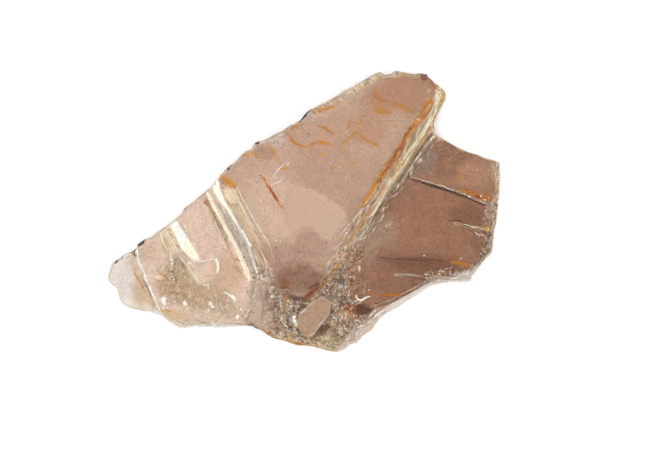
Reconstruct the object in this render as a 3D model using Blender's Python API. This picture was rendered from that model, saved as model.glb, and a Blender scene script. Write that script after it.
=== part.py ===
"""A muscovite specimen: one book of pinkish-brown mica, lying on its flat cleavage face.

The book is a stack of sheets along +Z. Each sheet stops at its own ring near the outline, and some sheets
are only there in one region, so the book has ledges. Two bundles of kinks, the reeves, cross it at sixty
degrees to each other and bend all the sheets, most at the top. Where the reeves meet, and at the lower
left, the top sheets are crushed into small flakes. A rounded grain has grown into the crest.

Lengths in the lists are millimetres. The origin is the middle of the outline's box, on the resting face.
"""

import math
import random

import bmesh
import bpy
from mathutils import Matrix, Vector, geometry, noise

MM = 0.001

# The outline, clockwise from the left tip, in stretches. Each has the width of its rim, which is how far
# the top sheets stop short of the widest one.
OUTLINE = [
    ("tip_upper", 0.7, [(-49.3, -16.5), (-49.0, -15.4), (-48.3, -13.3), (-47.6, -12.5), (-46.3, -11.7),
                        (-44.6, -10.5), (-43.4, -10.1), (-42.2, -9.3)]),
    ("left_upper", 0.5, [(-41.8, -8.2), (-40.1, -7.0), (-38.1, -6.2), (-36.9, -5.1), (-34.9, -3.9),
                         (-33.0, -2.4), (-31.4, -1.0), (-30.2, 0.6), (-28.8, 1.8), (-27.1, 3.2),
                         (-25.2, 4.7), (-23.9, 5.9), (-22.9, 6.5), (-22.2, 7.8), (-21.1, 9.0)]),
    ("long_side", 0.5, [(-20.0, 10.2), (-18.9, 11.3), (-17.1, 12.8), (-15.0, 15.1), (-13.2, 15.9),
                        (-12.4, 17.2), (-11.4, 17.7), (-10.0, 18.0), (-8.0, 19.0), (-5.0, 20.6),
                        (-3.4, 21.7), (-0.9, 22.9), (0.3, 24.6), (1.3, 25.5), (3.2, 26.5), (6.0, 27.9),
                        (8.3, 29.2), (9.7, 30.2), (12.0, 31.4), (15.0, 33.1), (18.9, 35.2)]),
    ("crest", 0.6, [(20.2, 34.3), (22.0, 34.6), (22.8, 35.4), (24.9, 35.1), (27.3, 34.6), (29.4, 34.8),
                    (30.5, 34.7), (31.6, 33.7), (32.6, 32.8)]),
    ("nub", 2.2, [(34.6, 31.1), (35.5, 30.3), (35.9, 29.0), (35.1, 26.7), (34.2, 25.3)]),
    ("notch", 0.5, [(33.3, 23.6), (32.6, 22.2), (32.9, 21.1), (32.8, 19.6)]),
    ("block_upper", 0.6, [(35.0, 18.2), (38.0, 16.6), (41.0, 15.1), (43.5, 14.4), (46.0, 13.5),
                          (48.2, 12.9)]),
    ("block_right", 1.3, [(49.2, 12.3), (49.25, 9.0), (49.1, 5.0), (48.9, 1.0), (48.2, -4.0),
                          (47.7, -7.0), (47.3, -10.2), (45.3, -12.3), (44.2, -14.0)]),
    ("corner", 2.6, [(43.3, -15.6), (42.2, -17.8), (40.5, -17.9), (37.0, -18.0), (34.3, -18.1)]),
    ("block_lower", 2.2, [(32.0, -18.8), (30.0, -20.0), (28.0, -21.2), (25.0, -23.2), (21.6, -25.2),
                          (20.0, -26.4), (18.8, -27.7), (16.9, -30.3), (15.0, -31.6)]),
    ("foot", 2.4, [(13.5, -33.0), (11.5, -34.0), (9.8, -35.0), (8.3, -35.3)]),
    ("stained_side", 0.7, [(6.4, -35.1), (4.0, -34.4), (2.0, -33.9), (0.0, -33.7), (-2.0, -33.6),
                           (-4.9, -32.5), (-8.0, -31.8), (-10.5, -30.1), (-13.2, -28.7)]),
    ("left_lower", 2.4, [(-16.0, -28.7), (-19.2, -29.1), (-23.0, -29.2), (-27.3, -28.9), (-30.8, -29.5),
                         (-32.2, -28.9), (-34.0, -27.6), (-35.5, -26.6)]),
    ("tip_lower", 0.9, [(-38.5, -25.3), (-41.0, -24.9), (-43.4, -24.5), (-45.6, -23.3), (-46.4, -21.9),
                        (-46.7, -20.2), (-47.6, -18.8), (-48.9, -17.8)]),
]
RINGS = (0.0, 0.25, 0.5, 0.75, 1.0)  # shares of the rim at which the sheets stop

# Edges of the regions where the upper sheets are. Each runs from outside the outline to outside it.
TIP_LINE = [(-42.6, -8.6), (-41.8, -10.6), (-41.4, -12.4), (-40.9, -14.0), (-40.1, -15.3), (-39.9, -17.0),
            (-39.2, -18.2), (-38.0, -20.9), (-37.2, -22.5), (-36.5, -24.2), (-36.0, -27.0)]
SPLIT_LINE = [(-22.9, 8.6), (-20.9, 6.0), (-18.0, 0.4), (-13.4, -8.8), (-11.7, -13.2), (-11.9, -17.5),
              (-12.3, -21.0), (-13.0, -24.5), (-13.9, -27.0), (-13.6, -30.0)]
BLOCK_LINE = [(34.4, 21.4), (32.4, 19.0), (30.2, 16.3), (27.6, 12.6), (23.0, 6.0), (18.5, -0.5),
              (14.2, -6.5), (11.6, -11.0), (10.2, -15.5), (10.0, -20.0), (12.4, -22.6), (17.2, -23.6),
              (21.0, -22.4), (24.5, -20.6), (28.5, -18.6), (31.5, -17.0), (36.0, -16.2), (38.2, -15.2),
              (41.0, -14.5), (45.5, -12.8)]
CRACK_LINE = [(32.4, 19.0), (30.2, 16.3), (27.6, 12.6), (26.3, 10.2), (26.6, 8.5), (30.0, 7.4), (34.0, 6.2),
              (37.0, 5.3), (39.5, 4.6), (41.5, 3.5), (43.5, 2.9), (45.5, 1.9), (50.5, 1.4)]
LEDGE_LINE = [(-31.2, -12.9), (-26.0, -12.6), (-23.6, -12.0), (-22.2, -12.1), (-21.4, -13.2),
              (-21.8, -14.8), (-21.3, -18.0), (-18.3, -19.6), (-15.6, -22.6), (-12.6, -24.4)]
LENS = [(-3.4, 6.2), (0.5, 6.4), (4.6, 4.6), (8.4, 2.2), (11.0, -0.6), (10.6, -3.4), (8.0, -5.4),
        (6.6, -7.4), (4.2, -6.6), (2.6, -4.4), (-0.6, -4.2), (-2.6, -5.8), (-4.4, -3.0), (-5.0, 1.0),
        (-4.6, 4.4)]
CRUSHED = [(-11.0, -18.4), (-8.0, -17.0), (-5.6, -19.4), (-3.0, -22.0), (0.8, -21.2), (4.0, -18.2),
           (7.2, -14.6), (9.6, -14.4), (9.8, -20.4), (12.2, -23.2), (17.0, -24.6), (15.6, -28.4),
           (11.4, -31.6), (6.4, -32.8), (0.0, -31.6), (-6.6, -29.8), (-10.4, -27.6), (-10.6, -22.6)]
FAR = 90.0  # a distance well outside the outline, for closing the regions

# The stack: the top of each sheet, the ring where it stops, and the region that it is in.
SHEETS = [
    (0.35, 1, "all"),
    (0.90, 0, "all"),
    (1.30, 2, "right_of_tip"),
    (1.75, 1, "right_of_tip"),
    (2.10, 3, "right_of_tip"),
    (2.30, 3, "above_ledge"),
    (2.80, 2, "right_of_split"),
    (3.35, 4, "not_crushed"),
    (3.50, 4, "not_crushed_or_lens"),
    (4.05, 3, "block"),
    (4.60, 4, "block"),
    (5.00, 4, "wedge"),
]
BEND_HEIGHT = 3.5  # the kinks bend the sheets fully at this height, and less below it

# The kinks. Each bundle is a row of lines that run from its upper or left end to the other one, each with
# the lift of the sheets at it. The lift runs straight from one line to the next, and fades over the given
# shares of the lines' length at their two ends.
LEFT_REEVE = (0.0, 0.2, [
    ([(-26.3, 4.5), (-21.4, -6.0), (-16.6, -16.4)], 0.00),
    ([(-24.6, 6.0), (-19.3, -6.4), (-14.6, -17.6)], 0.12),
    ([(-23.6, 7.0), (-18.4, -5.4), (-13.6, -16.9)], 0.62),
    ([(-22.9, 8.6), (-19.0, 0.2), (-14.6, -8.4), (-12.6, -13.4)], 0.10),
    ([(-20.9, 6.0), (-18.0, 0.4), (-13.4, -8.8), (-11.7, -13.2)], 0.55),
    ([(-19.9, 11.2), (-16.4, 2.0), (-12.2, -7.6), (-10.3, -13.6)], 0.10),
    ([(-17.6, 6.8), (-13.4, -2.2), (-8.8, -13.4)], 0.26),
    ([(-16.2, 6.2), (-12.0, -3.4), (-7.4, -14.2)], 0.00),
])
RIGHT_REEVE = (0.0, 0.25, [
    ([(31.4, 33.2), (30.4, 26.2), (26.2, 21.2), (21.4, 12.8), (16.6, 5.0), (11.4, -3.4), (6.8, -9.9)], 0.00),
    ([(33.3, 31.8), (31.9, 26.4), (27.7, 20.6), (22.6, 12.2), (18.0, 4.6), (12.8, -3.6), (8.0, -10.4)], 0.30),
    ([(35.2, 30.2), (33.2, 26.2), (29.4, 19.9), (24.2, 11.9), (18.8, 3.6), (14.6, -3.6), (9.4, -10.6)], 0.85),
    ([(34.6, 25.6), (32.4, 22.9), (29.5, 17.8), (25.2, 11.5), (19.8, 3.2), (16.0, -3.7), (11.2, -11.0)], 1.25),
    ([(32.4, 19.0), (30.2, 16.3), (27.6, 12.6), (23.0, 6.0), (18.5, -0.5), (14.2, -6.5)], 0.05),
    ([(34.6, 18.4), (31.8, 14.4), (25.0, 6.0), (20.6, -0.8), (16.4, -7.0)], 0.00),
])
FAR_LEFT_KINK = (0.0, 0.3, [
    ([(-37.0, -5.0), (-34.2, -11.8)], 0.00),
    ([(-34.8, -3.8), (-31.6, -12.0)], 0.16),
    ([(-33.2, -2.5), (-29.4, -11.8)], 0.62),
    ([(-31.5, -1.1), (-27.4, -11.6)], 0.00),
])
SMALL_KINK = (0.2, 0.3, [
    ([(-30.8, -12.8), (-25.8, -20.2)], 0.00),
    ([(-30.0, -12.5), (-25.2, -19.8)], 0.30),
    ([(-29.2, -12.4), (-24.6, -19.4)], 0.00),
])
BLOCK_FOLDS = (0.2, 0.2, [
    ([(15.6, -10.2), (26.0, -10.6), (37.0, -11.4)], 0.00),
    ([(16.0, -11.6), (26.0, -11.8), (37.6, -12.3)], -0.22),
    ([(16.4, -13.0), (26.0, -13.4), (37.0, -13.4)], 0.00),
    ([(18.0, -15.6), (26.0, -15.9), (31.0, -16.0)], -0.16),
    ([(18.4, -17.2), (26.0, -17.6), (29.8, -17.5)], 0.00),
])
KINKS = (LEFT_REEVE, RIGHT_REEVE, FAR_LEFT_KINK, SMALL_KINK, BLOCK_FOLDS)
WAVE_LENGTH, WAVE_HEIGHT = 13.0, 0.16  # the gentle warp of the cleavage faces
GRID_STEP = 4.2  # between the inner points that carry the warp
ON_LINE = 0.001  # a point this near a kink's line is on it

# The little piles of plates that the crushed zones end in: the zone, how many places are tried, the least
# distance between two piles, and the radius of their lowest plates.
PILE_ZONES = [
    (CRUSHED, 60, 2.2, (1.2, 2.5)),
    ([(-35.6, -13.8), (-30.8, -13.4), (-26.2, -19.8), (-20.4, -19.8), (-15.4, -24.2), (-17.2, -26.4),
      (-23.6, -25.4), (-31.2, -23.4), (-34.6, -22.4)], 24, 2.4, (0.9, 1.7)),
    ([(41.5, -1.0), (46.6, 0.6), (46.0, -4.4), (45.6, -9.6), (43.8, -10.6), (42.6, -5.6)], 4, 2.2, (0.8, 1.3)),
]
PLATE_THICKNESS = (0.28, 0.50)
PLATE_OVERLAP = 0.06
PLATE_TILT = math.radians(9)
PILE_ROOT = 0.35  # how deep a pile is set into the sheet under it
BIG_FLAKE = [(4.2, -20.4), (5.6, -21.3), (6.6, -22.4), (6.0, -25.6), (4.4, -28.2), (2.6, -30.4),
             (0.9, -30.9), (-0.9, -29.6), (-1.6, -27.6), (-0.6, -25.2), (1.5, -22.6)]
BIG_FLAKE_FACES = (2.5, 4.15)  # the heights of its lower and upper faces
BIG_FLAKE_TILT = math.radians(3.5)
GRAIN_CENTRE, GRAIN_RADII = (30.1, 33.5, 3.4), (1.0, 0.9, 0.7)

BODY_COLOUR, BODY_ROUGHNESS = (0.50, 0.33, 0.26, 1.0), 0.25
SEED = 7


def closed_region(line, corners):
    """The polygon that a line and some far corners enclose."""
    return line + [(x * FAR, y * FAR) for x, y in corners]


REGIONS = {
    "right_of_tip": closed_region(TIP_LINE, [(0, -1), (1, -1), (1, 1), (0, 1), (-1, 1)]),
    "right_of_split": closed_region(SPLIT_LINE, [(0, -1), (1, -1), (1, 1), (0, 1)]),
    "block": closed_region(BLOCK_LINE, [(1, 0), (1, 1)]),
    "wedge": closed_region(CRACK_LINE, [(1, 0), (1, 1)]),
    "below_ledge": closed_region(LEDGE_LINE, [(0, -1), (-1, -1), (-1, 0)]),
}


def inside(polygon, x, y):
    """Whether a point is in a polygon, by the edges that a ray towards +X crosses."""
    found = False
    for (ax, ay), (bx, by) in zip(polygon, polygon[1:] + polygon[:1]):
        if (ay > y) != (by > y) and x < ax + (y - ay) * (bx - ax) / (by - ay):
            found = not found
    return found


def in_region(name, x, y):
    """Whether a sheet that is only in the named region is there at a point."""
    if name == "all":
        return True
    if not inside(REGIONS["right_of_tip"], x, y):
        return False
    if name == "right_of_tip":
        return True
    split = inside(REGIONS["right_of_split"], x, y)
    if name == "above_ledge":
        return split or not inside(REGIONS["below_ledge"], x, y)
    if name == "right_of_split":
        return split
    whole = split and not inside(CRUSHED, x, y)
    if name in ("block", "wedge"):
        return whole and inside(REGIONS[name], x, y) and inside(REGIONS["block"], x, y)
    return whole and not (name == "not_crushed_or_lens" and inside(LENS, x, y))


def smooth_noise(x, y, length, seed):
    """Smooth noise from about -1 to 1 that changes over the given length."""
    return noise.noise(Vector((x / length, y / length, seed)))


def rings():
    """The closed lines where the sheets stop, from the outline inwards."""
    points = [Vector(p) for _, _, stretch in OUTLINE for p in stretch]
    rims = [rim for _, rim, stretch in OUTLINE for _ in stretch]
    count = len(points)
    found = []
    for share in RINGS:
        ring = []
        for i, point in enumerate(points):
            along = points[(i + 1) % count] - points[i - 1] + 0.5 * (points[(i + 2) % count] - points[i - 2])
            inward = Vector((along.y, -along.x)).normalized()
            rim = (rims[i - 1] + 2 * rims[i] + rims[(i + 1) % count]) / 4
            uneven = 1 + 0.35 * smooth_noise(point.x, point.y, 2.5, share * 9) if share else 0
            ring.append(tuple(point + inward * rim * share * uneven))
        found.append(ring)
    return found


def nearest(line, point):
    """The distance from a point to an open line, and the share of the line's length where it is nearest."""
    best, share, run = math.inf, 0.0, 0.0
    total = sum((Vector(b) - Vector(a)).length for a, b in zip(line, line[1:]))
    for a, b in zip(line, line[1:]):
        start, step = Vector(a), Vector(b) - Vector(a)
        t = min(max((point - start).dot(step) / step.length_squared, 0.0), 1.0)
        away = (start + t * step - point).length
        if away < best:
            best, share = away, (run + t * step.length) / total
        run += step.length
    return best, share


def kink_lift(x, y):
    """How far the kinks lift the top sheets at a point."""
    point = Vector((x, y))
    total = 0.0
    for start_fade, end_fade, lines in KINKS:
        for (low, low_lift), (high, high_lift) in zip(lines, lines[1:]):
            (to_low, share), (to_high, _) = nearest(low, point), nearest(high, point)
            if inside(low + high[::-1], x, y) or min(to_low, to_high) < ON_LINE:
                lift = low_lift + (high_lift - low_lift) * to_low / (to_low + to_high)
                if start_fade:
                    lift *= min(1.0, share / start_fade)
                total += lift * min(1.0, (1 - share) / end_fade)
                break
    return total


def warp(x, y):
    """The gentle warp of the cleavage faces."""
    return WAVE_HEIGHT * smooth_noise(x, y, WAVE_LENGTH, 3.0)


def plan():
    """The flat triangulation that every sheet's edge, region and kink is drawn in: its points and triangles."""
    points, edges = [], []

    def add(line, closed):
        first = len(points)
        points.extend(Vector(p) for p in line)
        edges.extend((i, i + 1) for i in range(first, len(points) - 1))
        if closed:
            edges.append((len(points) - 1, first))

    all_rings = rings()
    for ring in all_rings:
        add(ring, True)
    for line in (TIP_LINE, SPLIT_LINE, BLOCK_LINE, CRACK_LINE, LEDGE_LINE):
        add(line, False)
    add(LENS, True)
    add(CRUSHED, True)
    for _, _, lines in KINKS:
        for line, _ in lines:
            add(line, False)
    innermost = all_rings[-1]
    lows = [min(p[i] for p in innermost) for i in (0, 1)]
    highs = [max(p[i] for p in innermost) for i in (0, 1)]
    fixed = list(points)
    for row in range(int((highs[1] - lows[1]) / GRID_STEP) + 1):
        for column in range(int((highs[0] - lows[0]) / GRID_STEP) + 1):
            x = lows[0] + GRID_STEP * (column + 0.5 * (row % 2))
            y = lows[1] + GRID_STEP * row
            clear = all((Vector((x, y)) - p).length > GRID_STEP * 0.45 for p in fixed)
            if clear and inside(innermost, x, y):
                points.append(Vector((x, y)))
    corners, _, faces, *_ = geometry.delaunay_2d_cdt(points, edges, [], 0, 0.02)
    return corners, faces, all_rings


def layered_solid(corners, faces, all_rings):
    """A closed mesh of the stack of sheets, drawn on the flat triangulation."""
    heights = [0.0] + [top for top, _, _ in SHEETS]
    middles = [sum((corners[i] for i in face), Vector((0, 0))) / 3 for face in faces]
    there = [
        [inside(all_rings[ring], m.x, m.y) and in_region(region, m.x, m.y) for m in middles]
        for _, ring, region in SHEETS
    ]
    lifts = [kink_lift(c.x, c.y) + warp(c.x, c.y) for c in corners]
    mesh = bmesh.new()
    made = {}

    def corner(i, level):
        if (i, level) not in made:
            bend = min(1.0, heights[level] / BEND_HEIGHT)
            z = heights[level] + bend * lifts[i]
            made[i, level] = mesh.verts.new((corners[i].x * MM, corners[i].y * MM, z * MM))
        return made[i, level]

    sides = {}
    for t, face in enumerate(faces):
        for a, b in zip(face, face[1:] + face[:1]):
            sides.setdefault((min(a, b), max(a, b)), []).append((t, a, b))
        for level in range(len(heights)):
            below = level > 0 and there[level - 1][t]
            above = level < len(SHEETS) and there[level][t]
            if below and not above:
                mesh.faces.new([corner(i, level) for i in face])
            if above and not below:
                mesh.faces.new([corner(i, level) for i in reversed(face)])
    for uses in sides.values():
        for layer in range(len(SHEETS)):
            full = [use for use in uses if there[layer][use[0]]]
            if len(full) == 1:
                _, a, b = full[0]
                mesh.faces.new([corner(a, layer), corner(b, layer), corner(b, layer + 1), corner(a, layer + 1)])
    bmesh.ops.recalc_face_normals(mesh, faces=mesh.faces)
    return mesh


def surface_height(x, y, all_rings):
    """The height of the top sheet at a point."""
    tops = [top for top, ring, region in SHEETS if inside(all_rings[ring], x, y) and in_region(region, x, y)]
    top = tops[-1] if tops else 0.0
    return top + min(1.0, top / BEND_HEIGHT) * (kink_lift(x, y) + warp(x, y))


def add_plate(mesh, outline, low, high, turn=None):
    """Add a prism with the given outline to a mesh, turned about its middle if a rotation is given."""
    if turn is None:
        turn = Matrix.Identity(3)
    middle = Vector((sum(x for x, _ in outline) / len(outline), sum(y for _, y in outline) / len(outline), 0))
    layers = []
    for z in (low, high):
        offsets = [Vector((x, y, z - high)) - middle for x, y in outline]
        layers.append([mesh.verts.new((turn @ o + middle + Vector((0, 0, high))) * MM) for o in offsets])
    lower, upper = layers
    mesh.faces.new(lower[::-1])
    mesh.faces.new(upper)
    for i in range(len(outline)):
        j = (i + 1) % len(outline)
        mesh.faces.new([lower[i], lower[j], upper[j], upper[i]])


def plate_outline(rng, x, y, radius):
    """An irregular outline with five or six straight sides around a point, anticlockwise."""
    count = rng.randint(5, 6)
    turn, longer = rng.uniform(0, math.tau), rng.uniform(1.0, 1.6)
    outline = []
    for i in range(count):
        angle = math.tau * (i + rng.uniform(-0.25, 0.25)) / count
        reach = radius * rng.uniform(0.75, 1.1)
        along, across = reach * math.cos(angle) * longer, reach * math.sin(angle) / longer
        outline.append((x + along * math.cos(turn) - across * math.sin(turn),
                        y + along * math.sin(turn) + across * math.cos(turn)))
    return outline


def piles(rng, all_rings):
    """The piles of plates, each a list of meshes from its lowest plate up."""
    found, centres = [], []
    for zone, count, spacing, radii in PILE_ZONES:
        made = 0
        while made < count:
            x = rng.uniform(min(p[0] for p in zone), max(p[0] for p in zone))
            y = rng.uniform(min(p[1] for p in zone), max(p[1] for p in zone))
            if not inside(zone, x, y) or inside(BIG_FLAKE, x, y):
                continue
            made += 1
            if any(math.dist((x, y), other) < spacing for other in centres):
                continue
            centres.append((x, y))
            z = surface_height(x, y, all_rings) - PILE_ROOT
            radius = rng.uniform(*radii)
            for plate in range(rng.randint(1, 3)):
                thickness = rng.uniform(*PLATE_THICKNESS) + (PILE_ROOT if plate == 0 else 0)
                axis = Vector((rng.uniform(-1, 1), rng.uniform(-1, 1), 0)).normalized()
                turn = Matrix.Rotation(rng.uniform(0, PLATE_TILT), 3, axis)
                mesh = bmesh.new()
                add_plate(mesh, plate_outline(rng, x, y, radius), z, z + thickness, turn)
                found.append(mesh)
                z += thickness - PLATE_OVERLAP
                radius *= rng.uniform(0.6, 0.85)
                x += rng.uniform(-0.3, 0.3) * radius
                y += rng.uniform(-0.3, 0.3) * radius
    return found


def big_flake():
    """The large flake that lies over the foot of the reeves."""
    mesh = bmesh.new()
    low, high = BIG_FLAKE_FACES
    outline = BIG_FLAKE if signed_area(BIG_FLAKE) > 0 else BIG_FLAKE[::-1]
    add_plate(mesh, outline, low, high, Matrix.Rotation(BIG_FLAKE_TILT, 3, Vector((1, 0.4, 0)).normalized()))
    return mesh


def signed_area(outline):
    """Twice the area of a closed outline, positive if it runs anticlockwise."""
    return sum(ax * by - bx * ay for (ax, ay), (bx, by) in zip(outline, outline[1:] + outline[:1]))


def grain():
    """The rounded grain in the crest."""
    mesh = bmesh.new()
    bmesh.ops.create_icosphere(mesh, subdivisions=2, radius=MM)
    bmesh.ops.scale(mesh, vec=GRAIN_RADII, verts=mesh.verts)
    bmesh.ops.translate(mesh, vec=Vector(GRAIN_CENTRE) * MM, verts=mesh.verts)
    return mesh


def new_object(name, mesh, collection):
    """An object from a bmesh, which is freed."""
    data = bpy.data.meshes.new(name)
    mesh.to_mesh(data)
    mesh.free()
    made = bpy.data.objects.new(name, data)
    collection.objects.link(made)
    return made


def mica_material():
    """Pinkish-brown mica with a pearly cleavage."""
    material = bpy.data.materials.new("mica")
    material.use_nodes = True
    shader = material.node_tree.nodes["Principled BSDF"]
    shader.inputs["Base Color"].default_value = BODY_COLOUR
    shader.inputs["Roughness"].default_value = BODY_ROUGHNESS
    shader.inputs["Metallic"].default_value = 0.0
    return material


def main():
    for old in list(bpy.data.objects):
        bpy.data.objects.remove(old)
    scene_collection = bpy.context.scene.collection
    corners, faces, all_rings = plan()
    book = new_object("muscovite_book", layered_solid(corners, faces, all_rings), scene_collection)
    book.data.materials.append(mica_material())

    grown_on = bpy.data.collections.new("grown_on")
    scene_collection.children.link(grown_on)
    for mesh in [big_flake(), grain()] + piles(random.Random(SEED), all_rings):
        lump = new_object("lump", mesh, grown_on)
        lump.hide_render = True
        lump.display_type = "WIRE"
    join = book.modifiers.new("join", "BOOLEAN")
    join.operation = "UNION"
    join.solver = "EXACT"
    join.operand_type = "COLLECTION"
    join.collection = grown_on


main()
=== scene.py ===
"""The looks of a muscovite book: a stack of see-through sheets with ragged edges, two bundles of bright
kinks, a crushed foot with loose flakes and slivers, rust stains, and a dark grain in its crest.

Lengths in the lists are millimetres, X to the right and Y towards the crest, from the frame's origin.
Colours are sRGB from 0 to 255, as they look from above over a white surface.
"""

import math
import random

import bmesh
import bpy
import numpy as np
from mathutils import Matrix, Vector, geometry, kdtree
from mathutils.bvhtree import BVHTree


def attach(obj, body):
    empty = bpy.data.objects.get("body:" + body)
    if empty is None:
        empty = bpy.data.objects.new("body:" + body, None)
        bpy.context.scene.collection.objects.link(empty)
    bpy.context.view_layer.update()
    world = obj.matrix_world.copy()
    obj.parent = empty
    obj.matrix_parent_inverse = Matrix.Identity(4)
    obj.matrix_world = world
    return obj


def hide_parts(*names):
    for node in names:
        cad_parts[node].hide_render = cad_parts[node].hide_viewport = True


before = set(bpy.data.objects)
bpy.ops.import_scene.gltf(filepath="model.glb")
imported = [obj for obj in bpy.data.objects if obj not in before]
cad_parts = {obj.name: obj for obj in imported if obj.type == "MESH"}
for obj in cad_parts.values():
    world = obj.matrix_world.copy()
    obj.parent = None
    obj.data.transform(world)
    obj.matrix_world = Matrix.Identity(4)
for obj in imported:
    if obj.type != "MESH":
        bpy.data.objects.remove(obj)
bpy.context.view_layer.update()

MM = 0.001
NODE, BODY, SLOT = "muscovite_book", "root", "mica"
rng = random.Random(11)

# ---------------------------------------------------------------- the build of the book

# Edges of the regions where the upper sheets are, as in the frame's solid.
TIP_LINE = [(-42.6, -8.6), (-41.8, -10.6), (-41.4, -12.4), (-40.9, -14), (-40.1, -15.3), (-39.9, -17),
            (-39.2, -18.2), (-38, -20.9), (-37.2, -22.5), (-36.5, -24.2), (-36, -27)]
SPLIT_LINE = [(-22.9, 8.6), (-20.9, 6), (-18, 0.4), (-13.4, -8.8), (-11.7, -13.2), (-11.9, -17.5),
              (-12.3, -21), (-13, -24.5), (-13.9, -27), (-13.6, -30)]
BLOCK_LINE = [(34.4, 21.4), (32.4, 19), (30.2, 16.3), (27.6, 12.6), (23, 6), (18.5, -0.5), (14.2, -6.5),
              (11.6, -11), (10.2, -15.5), (10, -20), (12.4, -22.6), (17.2, -23.6), (21, -22.4), (24.5, -20.6),
              (28.5, -18.6), (31.5, -17), (36, -16.2), (38.2, -15.2), (41, -14.5), (45.5, -12.8)]
CRACK_LINE = BLOCK_LINE[1:4] + [
    (26.3, 10.2), (26.6, 8.5), (30, 7.4), (34, 6.2), (37, 5.3), (39.5, 4.6), (41.5, 3.5), (43.5, 2.9),
    (45.5, 1.9), (50.5, 1.4)]
LEDGE_LINE = [(-31.2, -12.9), (-26, -12.6), (-23.6, -12), (-22.2, -12.1), (-21.4, -13.2), (-21.8, -14.8),
              (-21.3, -18), (-18.3, -19.6), (-15.6, -22.6), (-12.6, -24.4)]
LENS = [(-3.4, 6.2), (0.5, 6.4), (4.6, 4.6), (8.4, 2.2), (11, -0.6), (10.6, -3.4), (8, -5.4), (6.6, -7.4),
        (4.2, -6.6), (2.6, -4.4), (-0.6, -4.2), (-2.6, -5.8), (-4.4, -3), (-5, 1), (-4.6, 4.4)]
CRUSHED = [(-11, -18.4), (-8, -17), (-5.6, -19.4), (-3, -22), (0.8, -21.2), (4, -18.2), (7.2, -14.6),
           (9.6, -14.4), (9.8, -20.4), (12.2, -23.2), (17, -24.6), (15.6, -28.4), (11.4, -31.6), (6.4, -32.8),
           (0, -31.6), (-6.6, -29.8), (-10.4, -27.6), (-10.6, -22.6)]
BIG_FLAKE = [(-1.3, -25.4), (0, -24.3), (1.9, -22.5), (3.1, -21.9), (4.6, -21.1), (6.1, -21.9), (7, -22.8),
             (6.6, -25.6), (5.2, -27.4), (3.7, -29.2), (2.5, -31.1), (1.5, -31.7), (-0.3, -31.1),
             (-1.4, -29.2), (-1.5, -27.4)]
LOWER_LEFT = [(-35.6, -13.8), (-30.8, -13.4), (-26.2, -19.8), (-20.4, -19.8), (-15.4, -24.2), (-13.6, -27.6),
              (-17.2, -26.9), (-23.6, -25.4), (-31.2, -23.6), (-35.6, -22.8)]
FAR = 90.0

# The sheets: the height of each one's top and the region that it is in.
SHEETS = [(0.14, "all"), (0.35, "all"), (0.62, "all"), (0.9, "all"), (1.1, "right_of_tip"),
          (1.3, "right_of_tip"), (1.52, "right_of_tip"), (1.75, "right_of_tip"), (1.95, "right_of_tip"),
          (2.1, "right_of_tip"), (2.3, "above_ledge"), (2.55, "right_of_split"), (2.8, "right_of_split"),
          (3.08, "not_crushed"), (3.35, "not_crushed"), (3.5, "not_crushed_or_lens"), (3.75, "block"),
          (4.05, "block"), (4.35, "block"), (4.6, "block"), (4.8, "wedge"), (5, "wedge")]
BEND_HEIGHT = 3.5  # the kinks bend the sheets fully at this height, and less below it

# How wide the rim of stepped sheets is, and how high the book is behind it, near places on the outline.
RIMS = [
    ((-47.5, -13), 0.7, 0.9), ((-35, -3.5), 0.5, 2.3), ((-22, 8), 0.4, 2.3), ((-12, 16), 0.5, 3.5),
    ((0, 24), 0.5, 3.5), ((19, 35), 0.5, 3.5), ((28, 34.6), 0.6, 3.5), ((35.5, 29), 1.5, 3.5),
    ((33, 21), 0.5, 3.5), ((40, 15.5), 0.6, 5), ((49, 8), 0.9, 5), ((49, 0), 1.8, 4.6), ((46, -11), 1.6, 4.6),
    ((42, -17.8), 3, 4.6), ((35, -18), 1.9, 4.6), ((29, -20.6), 2.2, 4.6), ((20, -26.4), 2.3, 4.6),
    ((14, -32), 2.6, 2.8), ((9, -35), 2, 2.8), ((2, -34), 0.7, 2.8), ((-8, -31.5), 0.8, 2.8),
    ((-14, -28.6), 0.6, 2.3), ((-20, -29), 1.6, 2.3), ((-31, -29), 2, 2.3), ((-36, -26.5), 1.4, 2.3),
    ((-42, -24.8), 0.8, 0.9), ((-47, -20), 0.7, 0.9),
]
RIM_SHEETS_TOP, RIM_SHEETS_SHARE = 1.5, 0.72  # the sheets up to this height share out this much of the rim

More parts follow.
